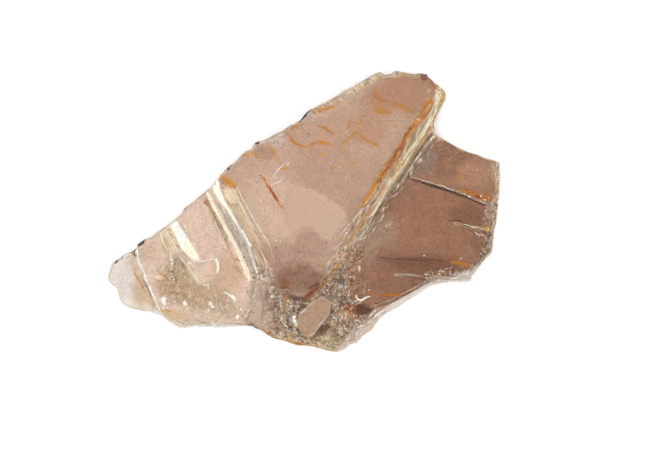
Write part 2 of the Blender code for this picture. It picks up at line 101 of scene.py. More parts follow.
# The kinks, as in the frame's solid: fades at the two ends, then lines with the lift of the sheets there.
KINKS = {
    "left_reeve": (0, 0.2,
                   [([(-26.3, 4.5), (-21.4, -6), (-16.6, -16.4)], 0),
                    ([(-24.6, 6), (-19.3, -6.4), (-14.6, -17.6)], 0.12),
                    ([(-23.6, 7), (-18.4, -5.4), (-13.6, -16.9)], 0.62),
                    ([(-22.9, 8.6), (-19, 0.2), (-14.6, -8.4), (-12.6, -13.4)], 0.1), (SPLIT_LINE[1:5], 0.55),
                    ([(-19.9, 11.2), (-16.4, 2), (-12.2, -7.6), (-10.3, -13.6)], 0.1),
                    ([(-17.6, 6.8), (-13.4, -2.2), (-8.8, -13.4)], 0.26),
                    ([(-16.2, 6.2), (-12, -3.4), (-7.4, -14.2)], 0)]),
    "right_reeve": (0, 0.25,
                    [([(31.4, 33.2), (30.4, 26.2), (26.2, 21.2), (21.4, 12.8), (16.6, 5), (11.4, -3.4),
                       (6.8, -9.9)], 0),
                     ([(33.3, 31.8), (31.9, 26.4), (27.7, 20.6), (22.6, 12.2), (18, 4.6), (12.8, -3.6),
                       (8, -10.4)], 0.3),
                     ([(35.2, 30.2), (33.2, 26.2), (29.4, 19.9), (24.2, 11.9), (18.8, 3.6), (14.6, -3.6),
                       (9.4, -10.6)], 0.85),
                     ([(34.6, 25.6), (32.4, 22.9), (29.5, 17.8), (25.2, 11.5), (19.8, 3.2), (16, -3.7),
                       (11.2, -11)], 1.25), (BLOCK_LINE[1:7], 0.05),
                     ([(34.6, 18.4), (31.8, 14.4), (25, 6), (20.6, -0.8), (16.4, -7)], 0)]),
    "far_left_kink": (0, 0.3,
                      [([(-37, -5), (-34.2, -11.8)], 0), ([(-34.8, -3.8), (-31.6, -12)], 0.16),
                       ([(-33.2, -2.5), (-29.4, -11.8)], 0.62), ([(-31.5, -1.1), (-27.4, -11.6)], 0)]),
    "small_kink": (0.2, 0.3,
                   [([(-30.8, -12.8), (-25.8, -20.2)], 0), ([(-30, -12.5), (-25.2, -19.8)], 0.3),
                    ([(-29.2, -12.4), (-24.6, -19.4)], 0)]),
    "block_folds": (0.2, 0.2,
                    [([(15.6, -10.2), (26, -10.6), (37, -11.4)], 0),
                     ([(16, -11.6), (26, -11.8), (37.6, -12.3)], -0.22),
                     ([(16.4, -13), (26, -13.4), (37, -13.4)], 0),
                     ([(18, -15.6), (26, -15.9), (31, -16)], -0.16),
                     ([(18.4, -17.2), (26, -17.6), (29.8, -17.5)], 0)]),
}
KINK_SHARE = 0.4  # how much of the solid's lift shows between the fibres
WARP_LENGTH, WARP_HEIGHT = 13.0, 0.16
FIBRE_HEIGHT = 0.05      # the fine relief of the kinks' fibres
RIPPLE_HEIGHT = 0.012    # the faint unevenness of the cleavage faces
SHARD_SPACING, SHARD_HEIGHT, SHARD_TILT = 1.5, 0.22, 0.16  # the broken ground of the crushed zones

# The points that the mesh is drawn from.
EDGE_STEP = 0.50
COARSE_STEP, FINE_STEP = 0.85, 0.324
CRISP_STEP, CRISP_WIDTH = 0.35, 0.09  # rows of points along both sides of a zone's crisp edge
GRID_WOBBLE, LEAST_GAP = 0.25, 0.45  # in spacings: how far points stray, how near they come to a line
CDT_MERGE = 0.004

# ---------------------------------------------------------------- plane geometry


turns = np.random.default_rng(5).uniform(0, math.tau, (256, 256))
SLOPES = np.stack([np.cos(turns), np.sin(turns)], axis=-1)  # the gradients of the smooth noise


def as_array(points):
    """The X and Y of points, as an array."""
    return np.array([(p[0], p[1]) for p in points], float)


def box(points):
    """The lowest and the highest X and Y of points."""
    points = as_array(points)
    return points.min(axis=0), points.max(axis=0)


def flat_tree(points):
    """A tree that finds the nearest of many points in the plane."""
    tree = kdtree.KDTree(len(points))
    for i, point in enumerate(points):
        tree.insert((point[0], point[1], 0), i)
    tree.balance()
    return tree


def smooth_noise(points, length, seed):
    """Smooth noise from about -1 to 1 at many points, which changes over the given length."""
    at = points / length + np.array([seed * 17.31, seed * 9.77])
    cell = np.floor(at).astype(int)
    part = at - cell
    ease = part ** 3 * (part * (part * 6 - 15) + 10)

    def corner(right, up):
        """The noise of one corner of each cell."""
        slope = SLOPES[(cell[:, 0] + right) % len(SLOPES), (cell[:, 1] + up) % len(SLOPES)]
        return slope[:, 0] * (part[:, 0] - right) + slope[:, 1] * (part[:, 1] - up)

    low = corner(0, 0) + ease[:, 0] * (corner(1, 0) - corner(0, 0))
    high = corner(0, 1) + ease[:, 0] * (corner(1, 1) - corner(0, 1))
    return 1.5 * (low + ease[:, 1] * (high - low))


def fractal(points, length, seed, octaves=3):
    """Several octaves of smooth noise, from about -1 to 1."""
    return sum(smooth_noise(points, length / 2 ** i, seed + 5.3 * i) / 2 ** i for i in range(octaves)) / 1.5


def step(low, high, values):
    """A smooth step from 0 at low to 1 at high."""
    t = np.clip((values - low) / (high - low), 0, 1)
    return t * t * (3 - 2 * t)


def run_along(line):
    """The distance along a line at each of its points."""
    return np.concatenate([[0], np.cumsum(np.linalg.norm(np.diff(as_array(line), axis=0), axis=1))])


def nearest(line, points):
    """For many points: the distance to an open line, and the share of its length where it is nearest."""
    line = as_array(line)
    lengths = np.linalg.norm(np.diff(line, axis=0), axis=1)
    best = np.full(len(points), np.inf)
    share = np.zeros(len(points))
    run = 0.0
    for a, b, length in zip(line, line[1:], lengths):
        t = np.clip((points - a) @ (b - a) / length ** 2, 0, 1)
        away = np.linalg.norm(a + t[:, None] * (b - a) - points, axis=1)
        closer = away < best
        best[closer] = away[closer]
        share[closer] = (run + t[closer] * length) / lengths.sum()
        run += length
    return best, share


def inside(polygon, points):
    """For many points: whether each is in a polygon."""
    polygon = as_array(polygon)
    found = np.zeros(len(points), bool)
    x, y = points[:, 0], points[:, 1]
    for (ax, ay), (bx, by) in zip(polygon, np.roll(polygon, -1, axis=0)):
        if ay != by:
            found ^= ((ay > y) != (by > y)) & (x < ax + (y - ay) * (bx - ax) / (by - ay))
    return found


def depth_in(polygon, points):
    """For many points: the distance to a polygon's edge, positive inside it and negative outside."""
    away, _ = nearest(list(polygon) + [polygon[0]], points)
    return np.where(inside(polygon, points), away, -away)


def signed_area(outline):
    """Twice the area of a closed outline, positive if it runs anticlockwise."""
    ahead = np.roll(outline, -1, axis=0)
    return (outline[:, 0] * ahead[:, 1] - ahead[:, 0] * outline[:, 1]).sum()


def resample(line, spacing, closed=False):
    """Points at even steps along a line."""
    line = as_array(line)
    if closed:
        line = np.vstack([line, line[:1]])
    run = run_along(line)
    count = max(2, int(run[-1] / spacing) + 1)
    at = np.linspace(0, run[-1], count, endpoint=not closed)
    return np.column_stack([np.interp(at, run, line[:, 0]), np.interp(at, run, line[:, 1])])


def ragged(line, amount, seed, closed=False):
    """A line with fine points that wander a little, as broken sheets do."""
    points = resample(line, EDGE_STEP, closed)
    along = np.roll(points, -1, axis=0) - np.roll(points, 1, axis=0)
    if not closed:
        along[0], along[-1] = points[1] - points[0], points[-1] - points[-2]
    across = np.column_stack([-along[:, 1], along[:, 0]]) / np.linalg.norm(along, axis=1)[:, None]
    wander = smooth_noise(points, 1.4, seed) + 0.6 * smooth_noise(points, 0.5, seed + 3)
    return points + across * (amount * wander)[:, None]


# ---------------------------------------------------------------- the book's plan


LOW_UNDERSIDES = 0.8     # the undersides of the frame's two lowest sheets are below this height
MERGE = 0.01             # corners of those undersides that are this near are the same one
PLAIN_PLACE = 6.0, 28.0  # on the long straight side, where no ring can cross itself


def outline_of_frame():
    """The outline of the frame's solid: the edge of the undersides of its two lowest sheets, from above."""
    low = LOW_UNDERSIDES * MM
    flat = bmesh.new()
    flat.from_mesh(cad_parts[NODE].data)
    others = [f for f in flat.faces if f.normal.z > -0.9 or f.calc_center_median().z > low]
    bmesh.ops.delete(flat, geom=others, context="FACES")
    for vertex in flat.verts:
        vertex.co.z = 0
    bmesh.ops.remove_doubles(flat, verts=flat.verts, dist=MERGE * MM)
    links = {}
    for edge in flat.edges:
        if len(edge.link_faces) == 1:
            a, b = edge.verts
            links.setdefault(a, []).append(b)
            links.setdefault(b, []).append(a)
    loops = []
    while links:
        here = next(iter(links))
        loop = []
        while here is not None:
            loop.append((here.co.x / MM, here.co.y / MM))
            ahead = [v for v in links.pop(here) if v in links]
            here = ahead[0] if ahead else None
        loops.append(loop)
    flat.free()
    longest = np.array(max(loops, key=len))
    return longest if signed_area(longest) < 0 else longest[::-1]


def plain_start(points):
    """The same closed outline, begun on its plainest side."""
    first = np.linalg.norm(points - np.array(PLAIN_PLACE), axis=1).argmin()
    return np.roll(points, -first, axis=0)


OUTLINE = plain_start(resample(outline_of_frame(), EDGE_STEP, closed=True))


def inward_normals(points, reach):
    """Unit vectors into a closed clockwise outline, smoothed over some points each way."""
    along = sum(np.roll(points, -k, axis=0) - np.roll(points, k, axis=0) for k in range(1, reach + 1))
    normals = np.column_stack([along[:, 1], -along[:, 0]])
    return normals / np.linalg.norm(normals, axis=1)[:, None]


def rim_facts(points):
    """The width of the stepped rim and the height behind it, at each point of the outline."""
    anchors = as_array([place for place, _, _ in RIMS])
    weights = 1 / (np.linalg.norm(points[:, None] - anchors[None], axis=2) ** 4 + 1)
    weights /= weights.sum(axis=1)[:, None]
    return weights @ np.array([rim for _, rim, _ in RIMS]), weights @ np.array([top for _, _, top in RIMS])


def sheet_rings():
    """The ragged line where each sheet stops."""
    normals = inward_normals(OUTLINE, 6)
    rims, tops = rim_facts(OUTLINE)
    found = []
    for index, (height, _) in enumerate(SHEETS):
        low = np.minimum(1, height / RIM_SHEETS_TOP) * RIM_SHEETS_SHARE
        high = RIM_SHEETS_SHARE + (1 - RIM_SHEETS_SHARE) * np.clip(
            (height - RIM_SHEETS_TOP) / np.maximum(tops - RIM_SHEETS_TOP, 0.1), 0, 1)
        share = np.where(height < RIM_SHEETS_TOP, low, high)
        for amount, length, seed in RING_WANDER:
            share = share + amount * smooth_noise(OUTLINE, length, index * seed)
        fray = FRAY * smooth_noise(OUTLINE, 0.6, index * 5.9) - LEAST_INSET
        inset = np.clip(rims * share + fray, LEAST_INSET * (index % 3), None)
        found.append(OUTLINE + normals * inset[:, None])
    return found


# How the share of the rim at which a sheet stops wanders: how much, over what length, and a seed.
RING_WANDER = [(0.30, 5.0, 1.7), (0.16, 1.6, 3.1)]
FRAY, LEAST_INSET = 0.07, 0.02


def closed_region(line, corners, seed):
    """A region that lies on one side of a line: the line, then far corners around that side."""
    return np.vstack([ragged(line, 0.12, seed), as_array(corners) * FAR])


REGIONS = {
    "right_of_tip": closed_region(TIP_LINE, [(0, -1), (1, -1), (1, 1), (0, 1), (-1, 1)], 1),
    "right_of_split": closed_region(SPLIT_LINE, [(0, -1), (1, -1), (1, 1), (0, 1)], 2),
    "block": closed_region(BLOCK_LINE, [(1, 0), (1, 1)], 3),
    "wedge": closed_region(CRACK_LINE, [(1, 0), (1, 1)], 4),
    "below_ledge": closed_region(LEDGE_LINE, [(0, -1), (-1, -1), (-1, 0)], 5),
    "lens": ragged(LENS, 0.22, 6, closed=True), "crushed": ragged(CRUSHED, 0.45, 7, closed=True),
}


def in_region(name, where):
    """Whether a sheet of the named region is there, from the set of regions that a place is in."""
    if name == "all":
        return True
    if "right_of_tip" not in where:
        return False
    if name == "right_of_tip":
        return True
    split = "right_of_split" in where
    if name == "above_ledge":
        return split or "below_ledge" not in where
    if name == "right_of_split":
        return split
    whole = split and "crushed" not in where
    if name == "not_crushed":
        return whole
    if name == "not_crushed_or_lens":
        return whole and "lens" not in where
    return whole and "block" in where and (name == "block" or "wedge" in where)


def sheet_is_near(region, points):
    """Where a sheet of the named region may be there, with a margin, so that its ring matters."""
    if region.startswith("not_crushed"):
        region = "right_of_split"
    if region not in REGIONS:
        return np.ones(len(points), bool)
    return depth_in(REGIONS[region], points) > -RING_MARGIN


RING_MARGIN, THIN_EVERY = 1.5, 6  # outside this margin a ring keeps only every so many of its points


def thinned(ring, region):
    """A ring with fewer points where its sheet isn't there."""
    matters = sheet_is_near(region, ring)
    return np.array([p for i, p in enumerate(ring) if matters[i] or i % THIN_EVERY == 0])


def near_kinks(points):
    """Which points lie in a kink bundle or a crushed zone, where the mesh is finer."""
    fine = inside(CRUSHED, points) | inside(LOWER_LEFT, points)
    for _, _, lines in KINKS.values():
        for (low, _), (high, _) in zip(lines, lines[1:]):
            fine |= inside(list(low) + list(high)[::-1], points)
    for line, *_ in BRIGHT_LINES + RUST_LINES + PAINTED_SHADE_LINES + STAINS:
        fine |= nearest(line, points)[0] < max(p[2] for p in line) + FINE_MARGIN
    return fine


FINE_MARGIN = 0.3  # how far beyond a mark the mesh is finer
ROW = 0.866        # the distance between rows of a grid of equal triangles, for its spacing


def jittered_grid(spacing, wobble):
    """Points of a grid of triangles over the book, each moved a little at random."""
    low, high = box(OUTLINE)
    points = []
    for row in range(int((high[1] - low[1]) / (spacing * ROW)) + 1):
        for column in range(int((high[0] - low[0]) / spacing) + 1):
            x = low[0] + spacing * (column + 0.5 * (row % 2) + rng.uniform(-wobble, wobble))
            points.append((x, low[1] + spacing * (ROW * row + rng.uniform(-wobble, wobble))))
    return np.array(points)


def plan():
    """The flat triangulation: its corners, its triangles, and the sheets' rings and regions around each."""
    rings = sheet_rings()
    points, edges, faces = [], [], []

    def add(line, closed):
        """Add a closed line as a face, or an open one as edges."""
        first = len(points)
        points.extend(Vector(p) for p in line)
        ids = list(range(first, len(points)))
        if closed:
            faces.append(ids)
        else:
            edges.extend(zip(ids, ids[1:]))

    for line in [thinned(ring, region) for ring, (_, region) in zip(rings, SHEETS)] + list(REGIONS.values()):
        add(line if signed_area(line) > 0 else line[::-1], True)
    for _, _, lines in KINKS.values():
        for line, _ in lines:
            add(resample(line, EDGE_STEP), False)
    for outline in CRISP + [REGIONS["lens"]]:
        ring = resample(outline, CRISP_STEP, closed=True)
        for offset in (-CRISP_WIDTH, CRISP_WIDTH):
            row = ring + inward_normals(ring, 1) * offset
            points.extend(Vector(p) for p in row[inside(OUTLINE, row)])
    fixed = flat_tree(points)
    for spacing, fine in ((COARSE_STEP, False), (FINE_STEP, True)):
        candidates = jittered_grid(spacing, GRID_WOBBLE)
        candidates = candidates[inside(OUTLINE, candidates)]
        for p in candidates[near_kinks(candidates) == fine]:
            if fixed.find((p[0], p[1], 0))[2] > spacing * LEAST_GAP:
                points.append(Vector(p))
    corners, _, triangles, _, _, sources = geometry.delaunay_2d_cdt(points, edges, faces, 0, CDT_MERGE)
    return as_array(corners), triangles, sources


# ---------------------------------------------------------------- the book's relief


def kink_lift(points):
    """How far the kinks lift the top sheets, and how strongly each point belongs to a kink."""
    lift = np.zeros(len(points))
    member = np.zeros(len(points))
    for start_fade, end_fade, lines in KINKS.values():
        for (low, low_lift), (high, high_lift) in zip(lines, lines[1:]):
            (to_low, share), (to_high, _) = nearest(low, points), nearest(high, points)
            here = inside(list(low) + list(high)[::-1], points) | (np.minimum(to_low, to_high) < 0.003)
            here &= member == 0
            raised = low_lift + (high_lift - low_lift) * to_low / np.maximum(to_low + to_high, 1e-9)
            fade = np.clip((1 - share) / end_fade, 0, 1)
            if start_fade:
                fade = fade * np.clip(share / start_fade, 0, 1)
            lift[here] += (raised * fade)[here] * KINK_SHARE
            member[here] = fade[here] + 0.01
    return lift, member


def broken_ground(points):
    """The heights of the crushed zones: patches that each lie at their own height and tilt."""
    depth = np.maximum(depth_in(CRUSHED, points), 0.7 * depth_in(LOWER_LEFT, points))
    strength = step(-0.3, 1.2, depth)
    seeds = jittered_grid(SHARD_SPACING, 0.45)
    tree = flat_tree(seeds)
    facts = [(rng.uniform(-1, 1), rng.uniform(-1, 1), rng.uniform(-1, 1)) for _ in seeds]
    heights = np.zeros(len(points))
    for i in np.nonzero(strength > 0)[0]:
        x, y = points[i]
        centre, index, _ = tree.find((x, y, 0))
        up, tilt_x, tilt_y = facts[index]
        tilt = SHARD_TILT * (tilt_x * (x - centre.x) + tilt_y * (y - centre.y))
        heights[i] = SHARD_HEIGHT * up + tilt
    return heights * strength


def fibre_places(points, along, across):
    """Places for the noise of the fibres, which is drawn out along them."""
    return np.column_stack([points @ np.array(across), points @ np.array(along) * FIBRE_DRAW])


# The directions along and across each reeve. The left one's fibres lie left of where the two meet.
LEFT_REEVE_WAYS = (0.47, -0.88), (0.88, 0.47)
RIGHT_REEVE_WAYS = (0.55, 0.835), (0.835, -0.55)
REEVES_MEET, FIBRE_DRAW = 2.0, 0.06


def relief(points):
    """The lift of the top sheets at each point."""
    lift, member = kink_lift(points)
    fibre_points = np.where(points[:, :1] < REEVES_MEET, fibre_places(points, *LEFT_REEVE_WAYS),
                            fibre_places(points, *RIGHT_REEVE_WAYS))
    fibre = fractal(fibre_points, 0.8, 21.0) * FIBRE_HEIGHT * np.minimum(1, member)
    warp = WARP_HEIGHT * smooth_noise(points, WARP_LENGTH, 3.0)
    ripple = RIPPLE_HEIGHT * fractal(points, 2.2, 40.0)
    return lift + fibre + warp + ripple + broken_ground(points)


# ---------------------------------------------------------------- the book's colours

WHITE, CREAM, BROWN, DARK = (250, 246, 236), (238, 224, 192), (128, 84, 62), (96, 66, 50)
BLACK, DEEP_RUST, ORANGE, YELLOW = (34, 30, 32), (150, 66, 28), (208, 132, 42), (206, 164, 70)

# How the book looks from above where it is so many millimetres thick.
THICKNESS_TINTS = [
    (0, (250, 246, 243)), (0.9, (236, 224, 212)), (1.6, (224, 198, 180)), (2.3, (226, 197, 177)),
    (2.8, (194, 162, 140)), (3.5, (204, 170, 148)), (4.1, (172, 129, 106)), (4.6, (163, 118, 95)),
    (5, (168, 123, 98)),
]

# Soft clouds of colour: the middle, how far it reaches in X and Y, the colour and its strength.
CLOUDS = [
    ((24, 31), (15, 8), (185, 139, 113), 0.9), ((8, 20), (16, 7), (197, 158, 134), 0.6),
    ((8, 9), (13, 8), (196, 160, 138), 0.9), ((16, 21), (5, 5), (191, 147, 120), 0.6),
    ((-8, 1), (9, 10), (215, 184, 163), 0.85), ((-3, -12), (10, 5), (186, 150, 129), 0.7),
    ((-1, -17), (8, 4.5), (150, 110, 90), 0.85), ((-9.4, 14.6), (2.8, 2.2), (184, 144, 119), 0.8),
    ((20, -5), (5, 5), (174, 142, 121), 0.85), ((27, -5), (6, 4), (166, 121, 98), 0.5),
    ((41, -1), (6, 3.4), (138, 98, 78), 0.8), ((47, -1.5), (2.2, 6), (182, 150, 128), 0.7),
    ((31, -13.5), (13, 3), (138, 96, 74), 0.9), ((23, -19), (7, 3), (152, 110, 88), 0.6),
    ((44, -8), (3, 3), (148, 105, 83), 0.6), ((37, 12), (6, 4), (150, 107, 85), 0.6),
    ((42.6, 9), (5.2, 4.4), (184, 139, 113), 0.8), ((30, 3), (9, 3), (166, 121, 98), 0.5),
    ((-31, -15), (4, 5), (192, 162, 130), 0.7), ((-33, -18), (4, 4), (196, 164, 126), 0.8),
    ((-19, -15), (5, 5.5), (212, 178, 151), 0.85), ((-26, -21), (8, 3.5), (200, 168, 135), 0.85),
    ((-26, -26.5), (10, 2.2), (218, 194, 172), 0.85), ((-45.5, -18), (4, 5), (226, 214, 208), 0.9),
    ((-39, -10), (2.5, 3), (214, 186, 164), 0.9), ((-43, -12), (3, 2.5), (214, 196, 174), 0.7),
    # The grey clouds at X 27.5 and 30.8 are painted shade in the groove right of the right reeve.
    ((-41, -20.6), (2.6, 4.4), (206, 180, 150), 0.85), ((27.5, 13), (1.8, 5), (152, 128, 110), 0.7),
    ((30.8, 13), (2.6, 5), (152, 127, 113), 0.75), ((24, 6), (4, 2.5), (156, 126, 106), 0.5),
    ((16.5, -9), (2.5, 5), (170, 144, 122), 0.7), ((13.5, 0), (4, 6), (186, 150, 128), 0.7),
    ((-27, -9), (5, 6), (222, 194, 176), 0.7), ((-10.6, -22), (3.5, 9), (206, 176, 154), 0.95),
    ((-34.8, -7.6), (2, 3.4), (224, 198, 166), 0.8),
]

# Zones with a clear edge: the outline, how soft its edge is, the colour, its strength, how see-through it is.
WHITE_FACET = [(-33.7, -3), (-31.9, -2.2), (-31, -3.6), (-29.9, -5.3), (-29, -6.8), (-27.6, -9.2),
               (-26.6, -10.8), (-26.1, -12.2), (-27, -12.4), (-28.9, -11.1), (-30.7, -9.2), (-31.9, -6.6),
               (-32.9, -4.6)]
MAIN_STREAK = [(-22.6, 8.9), (-21.6, 8.4), (-20.6, 4.9), (-19.7, 2.7), (-18.8, 1.2), (-17.9, -0.3),
               (-17, -1.85), (-15.9, -3.7), (-14.7, -5.5), (-13.8, -7.35), (-13, -8.6), (-13.5, -8.7),
               (-14.4, -7.35), (-15.5, -5.5), (-16.7, -3.7), (-17.9, -1.85), (-18.8, -0.3), (-19.9, 1.2),
               (-21, 2.7), (-22.4, 4.9), (-22.9, 7)]
SECOND_STREAK = [(-24.5, 5), (-23.7, 4.7), (-22.6, 2.4), (-21.6, 0.4), (-20.2, -2.2), (-18.7, -5),
                 (-16.9, -8), (-15.3, -11.2), (-14, -14), (-13.1, -17.3), (-13.8, -17.5), (-15.2, -14.2),
                 (-16.4, -11.4), (-18, -8), (-19.9, -4.6), (-21.4, -1.6), (-22.9, 1), (-23.9, 3)]
LOBE = [(-2.1, -7.3), (-1.2, -5.7), (0.9, -4.9), (3.1, -5.4), (4.1, -6.7), (6.1, -7.8), (4.6, -10.5),
        (0, -10.8), (-2.4, -9.4)]
WINDOW = [(12.4, -23.4), (14.4, -22.9), (16.4, -23.4), (17.4, -24.4), (16.6, -25.4), (15, -26), (13.2, -25.8),
          (12.2, -24.8)]
SHADOW = [(1.6, -32.4), (2.6, -30.6), (3.6, -29.2), (4.8, -28.2), (6.2, -28), (6.8, -29), (5.6, -30.4),
          (3.6, -31.2), (2.4, -32.6)]
FOOT = [(9.6, -33.8), (10.4, -31.6), (12.6, -29.4), (15.2, -27.9), (18, -26.2), (20.5, -27.5), (16, -33),
        (9.5, -36)]
# Stretches of the long upper left side where its sheets are cloudy.
PALE_STRETCH = [(1.5, 24.6), (9.5, 29.5), (10.2, 28), (5, 25), (2.6, 23.4)]
CREAM_STRETCH = [(10.4, 30.2), (18.2, 34.8), (18.8, 33.2), (15, 31), (11.6, 28.8)]
HAZY_STRETCH = [(-12, 17.4), (-4.6, 21), (-3.8, 18.6), (-6, 15.4), (-9, 16.6)]
CRISP = [WHITE_FACET, MAIN_STREAK, SECOND_STREAK, LOBE, WINDOW]  # the mesh follows these edges closely
ZONES = [
    (LENS, 0.12, (209, 178, 157), 0.95, None), (LOBE, 0.12, (190, 154, 135), 0.9, None),
    (CRUSHED, 1, (146, 114, 90), 0.85, 0.5), (LOWER_LEFT, 1.8, (199, 170, 139), 0.6, 0.6),
    ([(-12.2, -15.2), (-7.6, -15.6), (-8, -22), (-7.6, -28.6), (-11.6, -29.4), (-14.4, -27.2), (-13.4, -24.4),
      (-12.5, -20.6)], 0.4, (204, 176, 155), 0.85, 0.6),
    ([(-34.6, -13.9), (-31, -14.6), (-32.6, -20.4), (-35.6, -21.2), (-37, -17.6)], 0.7, (192, 160, 122), 0.7,
     0.55),
    ([(-36.6, -24.6), (-30, -24.6), (-28, -26.6), (-34, -27.2)], 0.5, (216, 184, 138), 0.6, 0.6),
    ([(-36.8, -4.4), (-33.4, -2.2), (-33, -5), (-31, -9.4), (-33.2, -11.6), (-35.6, -8)], 0.5,
     (236, 214, 186), 0.75, 0.5),
    # Painted shadow: the dark band left of the second white streak.
    ([(-24.4, 2.6), (-23.2, 3), (-18.6, -6.6), (-19.6, -7.4)], 0.4, (178, 150, 116), 0.55, 0.6),
    ([(-21.4, 2), (-18.6, -0.8), (-14.6, -7), (-12.2, -14), (-13.4, -16.6), (-15, -11.6), (-18.6, -4.6)], 0.4,
     (200, 187, 176), 0.8, 0.55),
    ([(-20.4, 6.6), (-17.6, 6.6), (-16, 3), (-13, -3), (-11, -9.6), (-14.4, -6.2), (-18.2, 1.4)], 0.5,
     (222, 192, 164), 0.8, 0.6),
    ([(-20.6, 5.4), (-17, 5.6), (-16.6, 2.6), (-18.2, 1.7), (-19.4, 3)], 0.2, (244, 220, 184), 0.75, 0.3),
    ([(33.2, 31.6), (31.6, 26), (27.6, 20.4), (22.8, 12.6), (18, 4.8), (12.4, -3.6), (8, -9.4), (10.6, -9.4),
      (14.4, -6.4), (20, 2.2), (24.8, 9.6), (29.6, 16.6), (33.6, 21.8), (35.8, 29.6)], 0.4, (178, 149, 116),
     0.85, 0.5),
    ([(32, 24), (28, 18), (23.4, 11.4), (20.6, 7.2), (21.6, 6.6), (25.4, 12.2), (29.8, 18.4), (33.2, 24.4)],
     0.25, (226, 207, 168), 0.8, 0.42),
    ([(20.6, 8), (17.4, 3.6), (13.4, -2.6), (9, -8.2), (11.6, -7.4), (15.6, -2.4), (19.6, 4.2), (21.6, 7)],
     0.4, (176, 146, 120), 0.7, 0.6),
    # Painted shade on the slope from the right reeve's crest down to the groove beside the block.
    ([(29.4, 17), (33.4, 21), (34.4, 19.6), (31.4, 16.2), (26.8, 10.2), (22.4, 4.6), (21.2, 5.2),
      (25.4, 11.2)], 0.4, (166, 142, 118), 0.7, 0.6),
    ([(33, 31.8), (35.8, 31.4), (36.6, 28.6), (34.6, 24), (33, 22), (32.6, 25.6)], 0.25, (238, 222, 184), 0.9,
     0.35),
    ([(14.7, -5), (6.8, -9.9), (7.5, -11.5), (11.2, -11), (14.2, -6.5)], 0.5, (172, 146, 122), 0.7, 0.5),
    (PALE_STRETCH, 0.4, (208, 178, 146), 0.7, 0.5), (CREAM_STRETCH, 0.4, (226, 206, 168), 0.8, 0.4),
    ([(-1, 23), (18, 34.6), (20, 32.4), (14, 28.4), (9, 26), (3, 22.4)], 1.2, (204, 180, 162), 0.5, 0.6),
    (HAZY_STRETCH, 0.8, (205, 184, 170), 0.7, 0.6),
    ([(18.6, 35.6), (30.4, 35.2), (30.2, 33.8), (24, 34), (20, 33)], 0.3, (206, 188, 160), 0.7, 0.5),
    (FOOT, 0.4, (232, 214, 198), 0.95, 0.5),
    ([(16.6, -24.4), (19.4, -22.6), (26.8, -18.8), (32.6, -16.2), (33.6, -16.9), (28.6, -19.3),
      (21.8, -23.1)], 0.2, (146, 105, 76), 0.85, 0.7),
    # The pale rim of the lower right, painted lighter than its own colour: painted light that lifts the shade
    # of its steep steps.
    ([(17.6, -26), (21.8, -23.2), (28.6, -19.4), (33.4, -16.9), (38.4, -16.2), (45, -18), (34, -22),
      (22, -28.4)], 0.2, (255, 246, 242), 0.98, 0.2),
    ([(37.6, -15.5), (41.3, -14.6), (44.4, -14.4), (43.5, -18.4), (39.4, -17.4)], 0.2, (228, 219, 208), 0.9,
     0.6),
    ([(46.4, 12.6), (50, 12.6), (50, -9), (46.2, -10.4), (47.4, -4), (46.4, 1.4), (47.8, 6)], 0.5,
     (204, 178, 150), 0.75, 0.6),
    ([(42.6, -13.4), (44.6, -10), (45.4, -4.6), (47.4, -5), (46.6, -10.6), (44, -13.6)], 0.5, (138, 114, 98),
     0.7, 0.6),
    ([(10, -22.6), (12, -22.4), (13.2, -25.8), (11.4, -26.4), (9.8, -25.4)], 0.3, (178, 110, 72), 0.8, 0.6),
    (WINDOW, 0.25, (104, 68, 49), 0.97, 0.75), (SHADOW, 0.3, (122, 86, 66), 0.9, 0.75),
    ([(2.6, -31.6), (6, -30.9), (8.4, -32.4), (8.6, -35.4), (4.4, -34.4), (1.6, -33.2)], 0.4, (208, 184, 142),
     0.8, 0.5),
    ([(-2.9, -25.9), (-2, -25.9), (-1.5, -27.4), (-1.2, -28.8), (-2, -28.6), (-3.1, -27.2)], 0.15,
     (252, 248, 240), 0.95, 0.1),
    ([(-3.4, -20.6), (-0.6, -21.4), (1.2, -20.2), (3.8, -17.6), (4.6, -18.6), (2.4, -21.2), (0.2, -22.8),
      (-2.6, -23)], 0.3, (116, 76, 54), 0.8, 0.6),
    ([(-42.8, -12), (-41.9, -14.4), (-41, -16.2), (-40.2, -18.2), (-39.4, -20.2), (-38.4, -22.4),
      (-37.4, -24.4), (-38.4, -24.8), (-39.8, -22.6), (-41, -20.2), (-42, -17.8), (-42.8, -15.6),
      (-43.4, -13.6)], 0.4, (222, 186, 150), 0.8, 0.4),
    ([(10, -22.5), (13.2, -22.9), (12.6, -25.6), (10.4, -25.2)], 0.3, (176, 106, 66), 0.7, 0.5),
    ([(1.9, -30.5), (3.7, -30.5), (3.7, -32.3), (1.9, -32.3)], 0.4, (151, 117, 95), 0.7, 0.5),
    # A pale band beside the tip's step: painted light that lifts the shade that the step's wall casts.
    ([(x - dx, y - 0.2) for dx, side in ((0.7, TIP_LINE[5::-1]), (0.0, TIP_LINE[:6])) for x, y in side], 0.15,
     (255, 240, 222), 0.85, 0.2),
    # The white streaks and facet of the kinks: the white of split sheets, with a painted highlight of their
    # tilted faces on top, in colours beyond white so that the base colour reaches its top.
    (SECOND_STREAK, 0.15, (262, 248, 218), 0.95, 0.12), (MAIN_STREAK, 0.1, (284, 277, 254), 1, 0.06),
    (WHITE_FACET, 0.1, (255, 253, 244), 1, 0.08),
    ([(-30, -6.6), (-29, -6.8), (-27.5, -9.2), (-26.5, -10.8), (-26.1, -12.2), (-27, -12.6), (-28.8, -11.3),
      (-30.4, -9.6)], 0.4, (255, 246, 216), 0.85, 0.08),
]
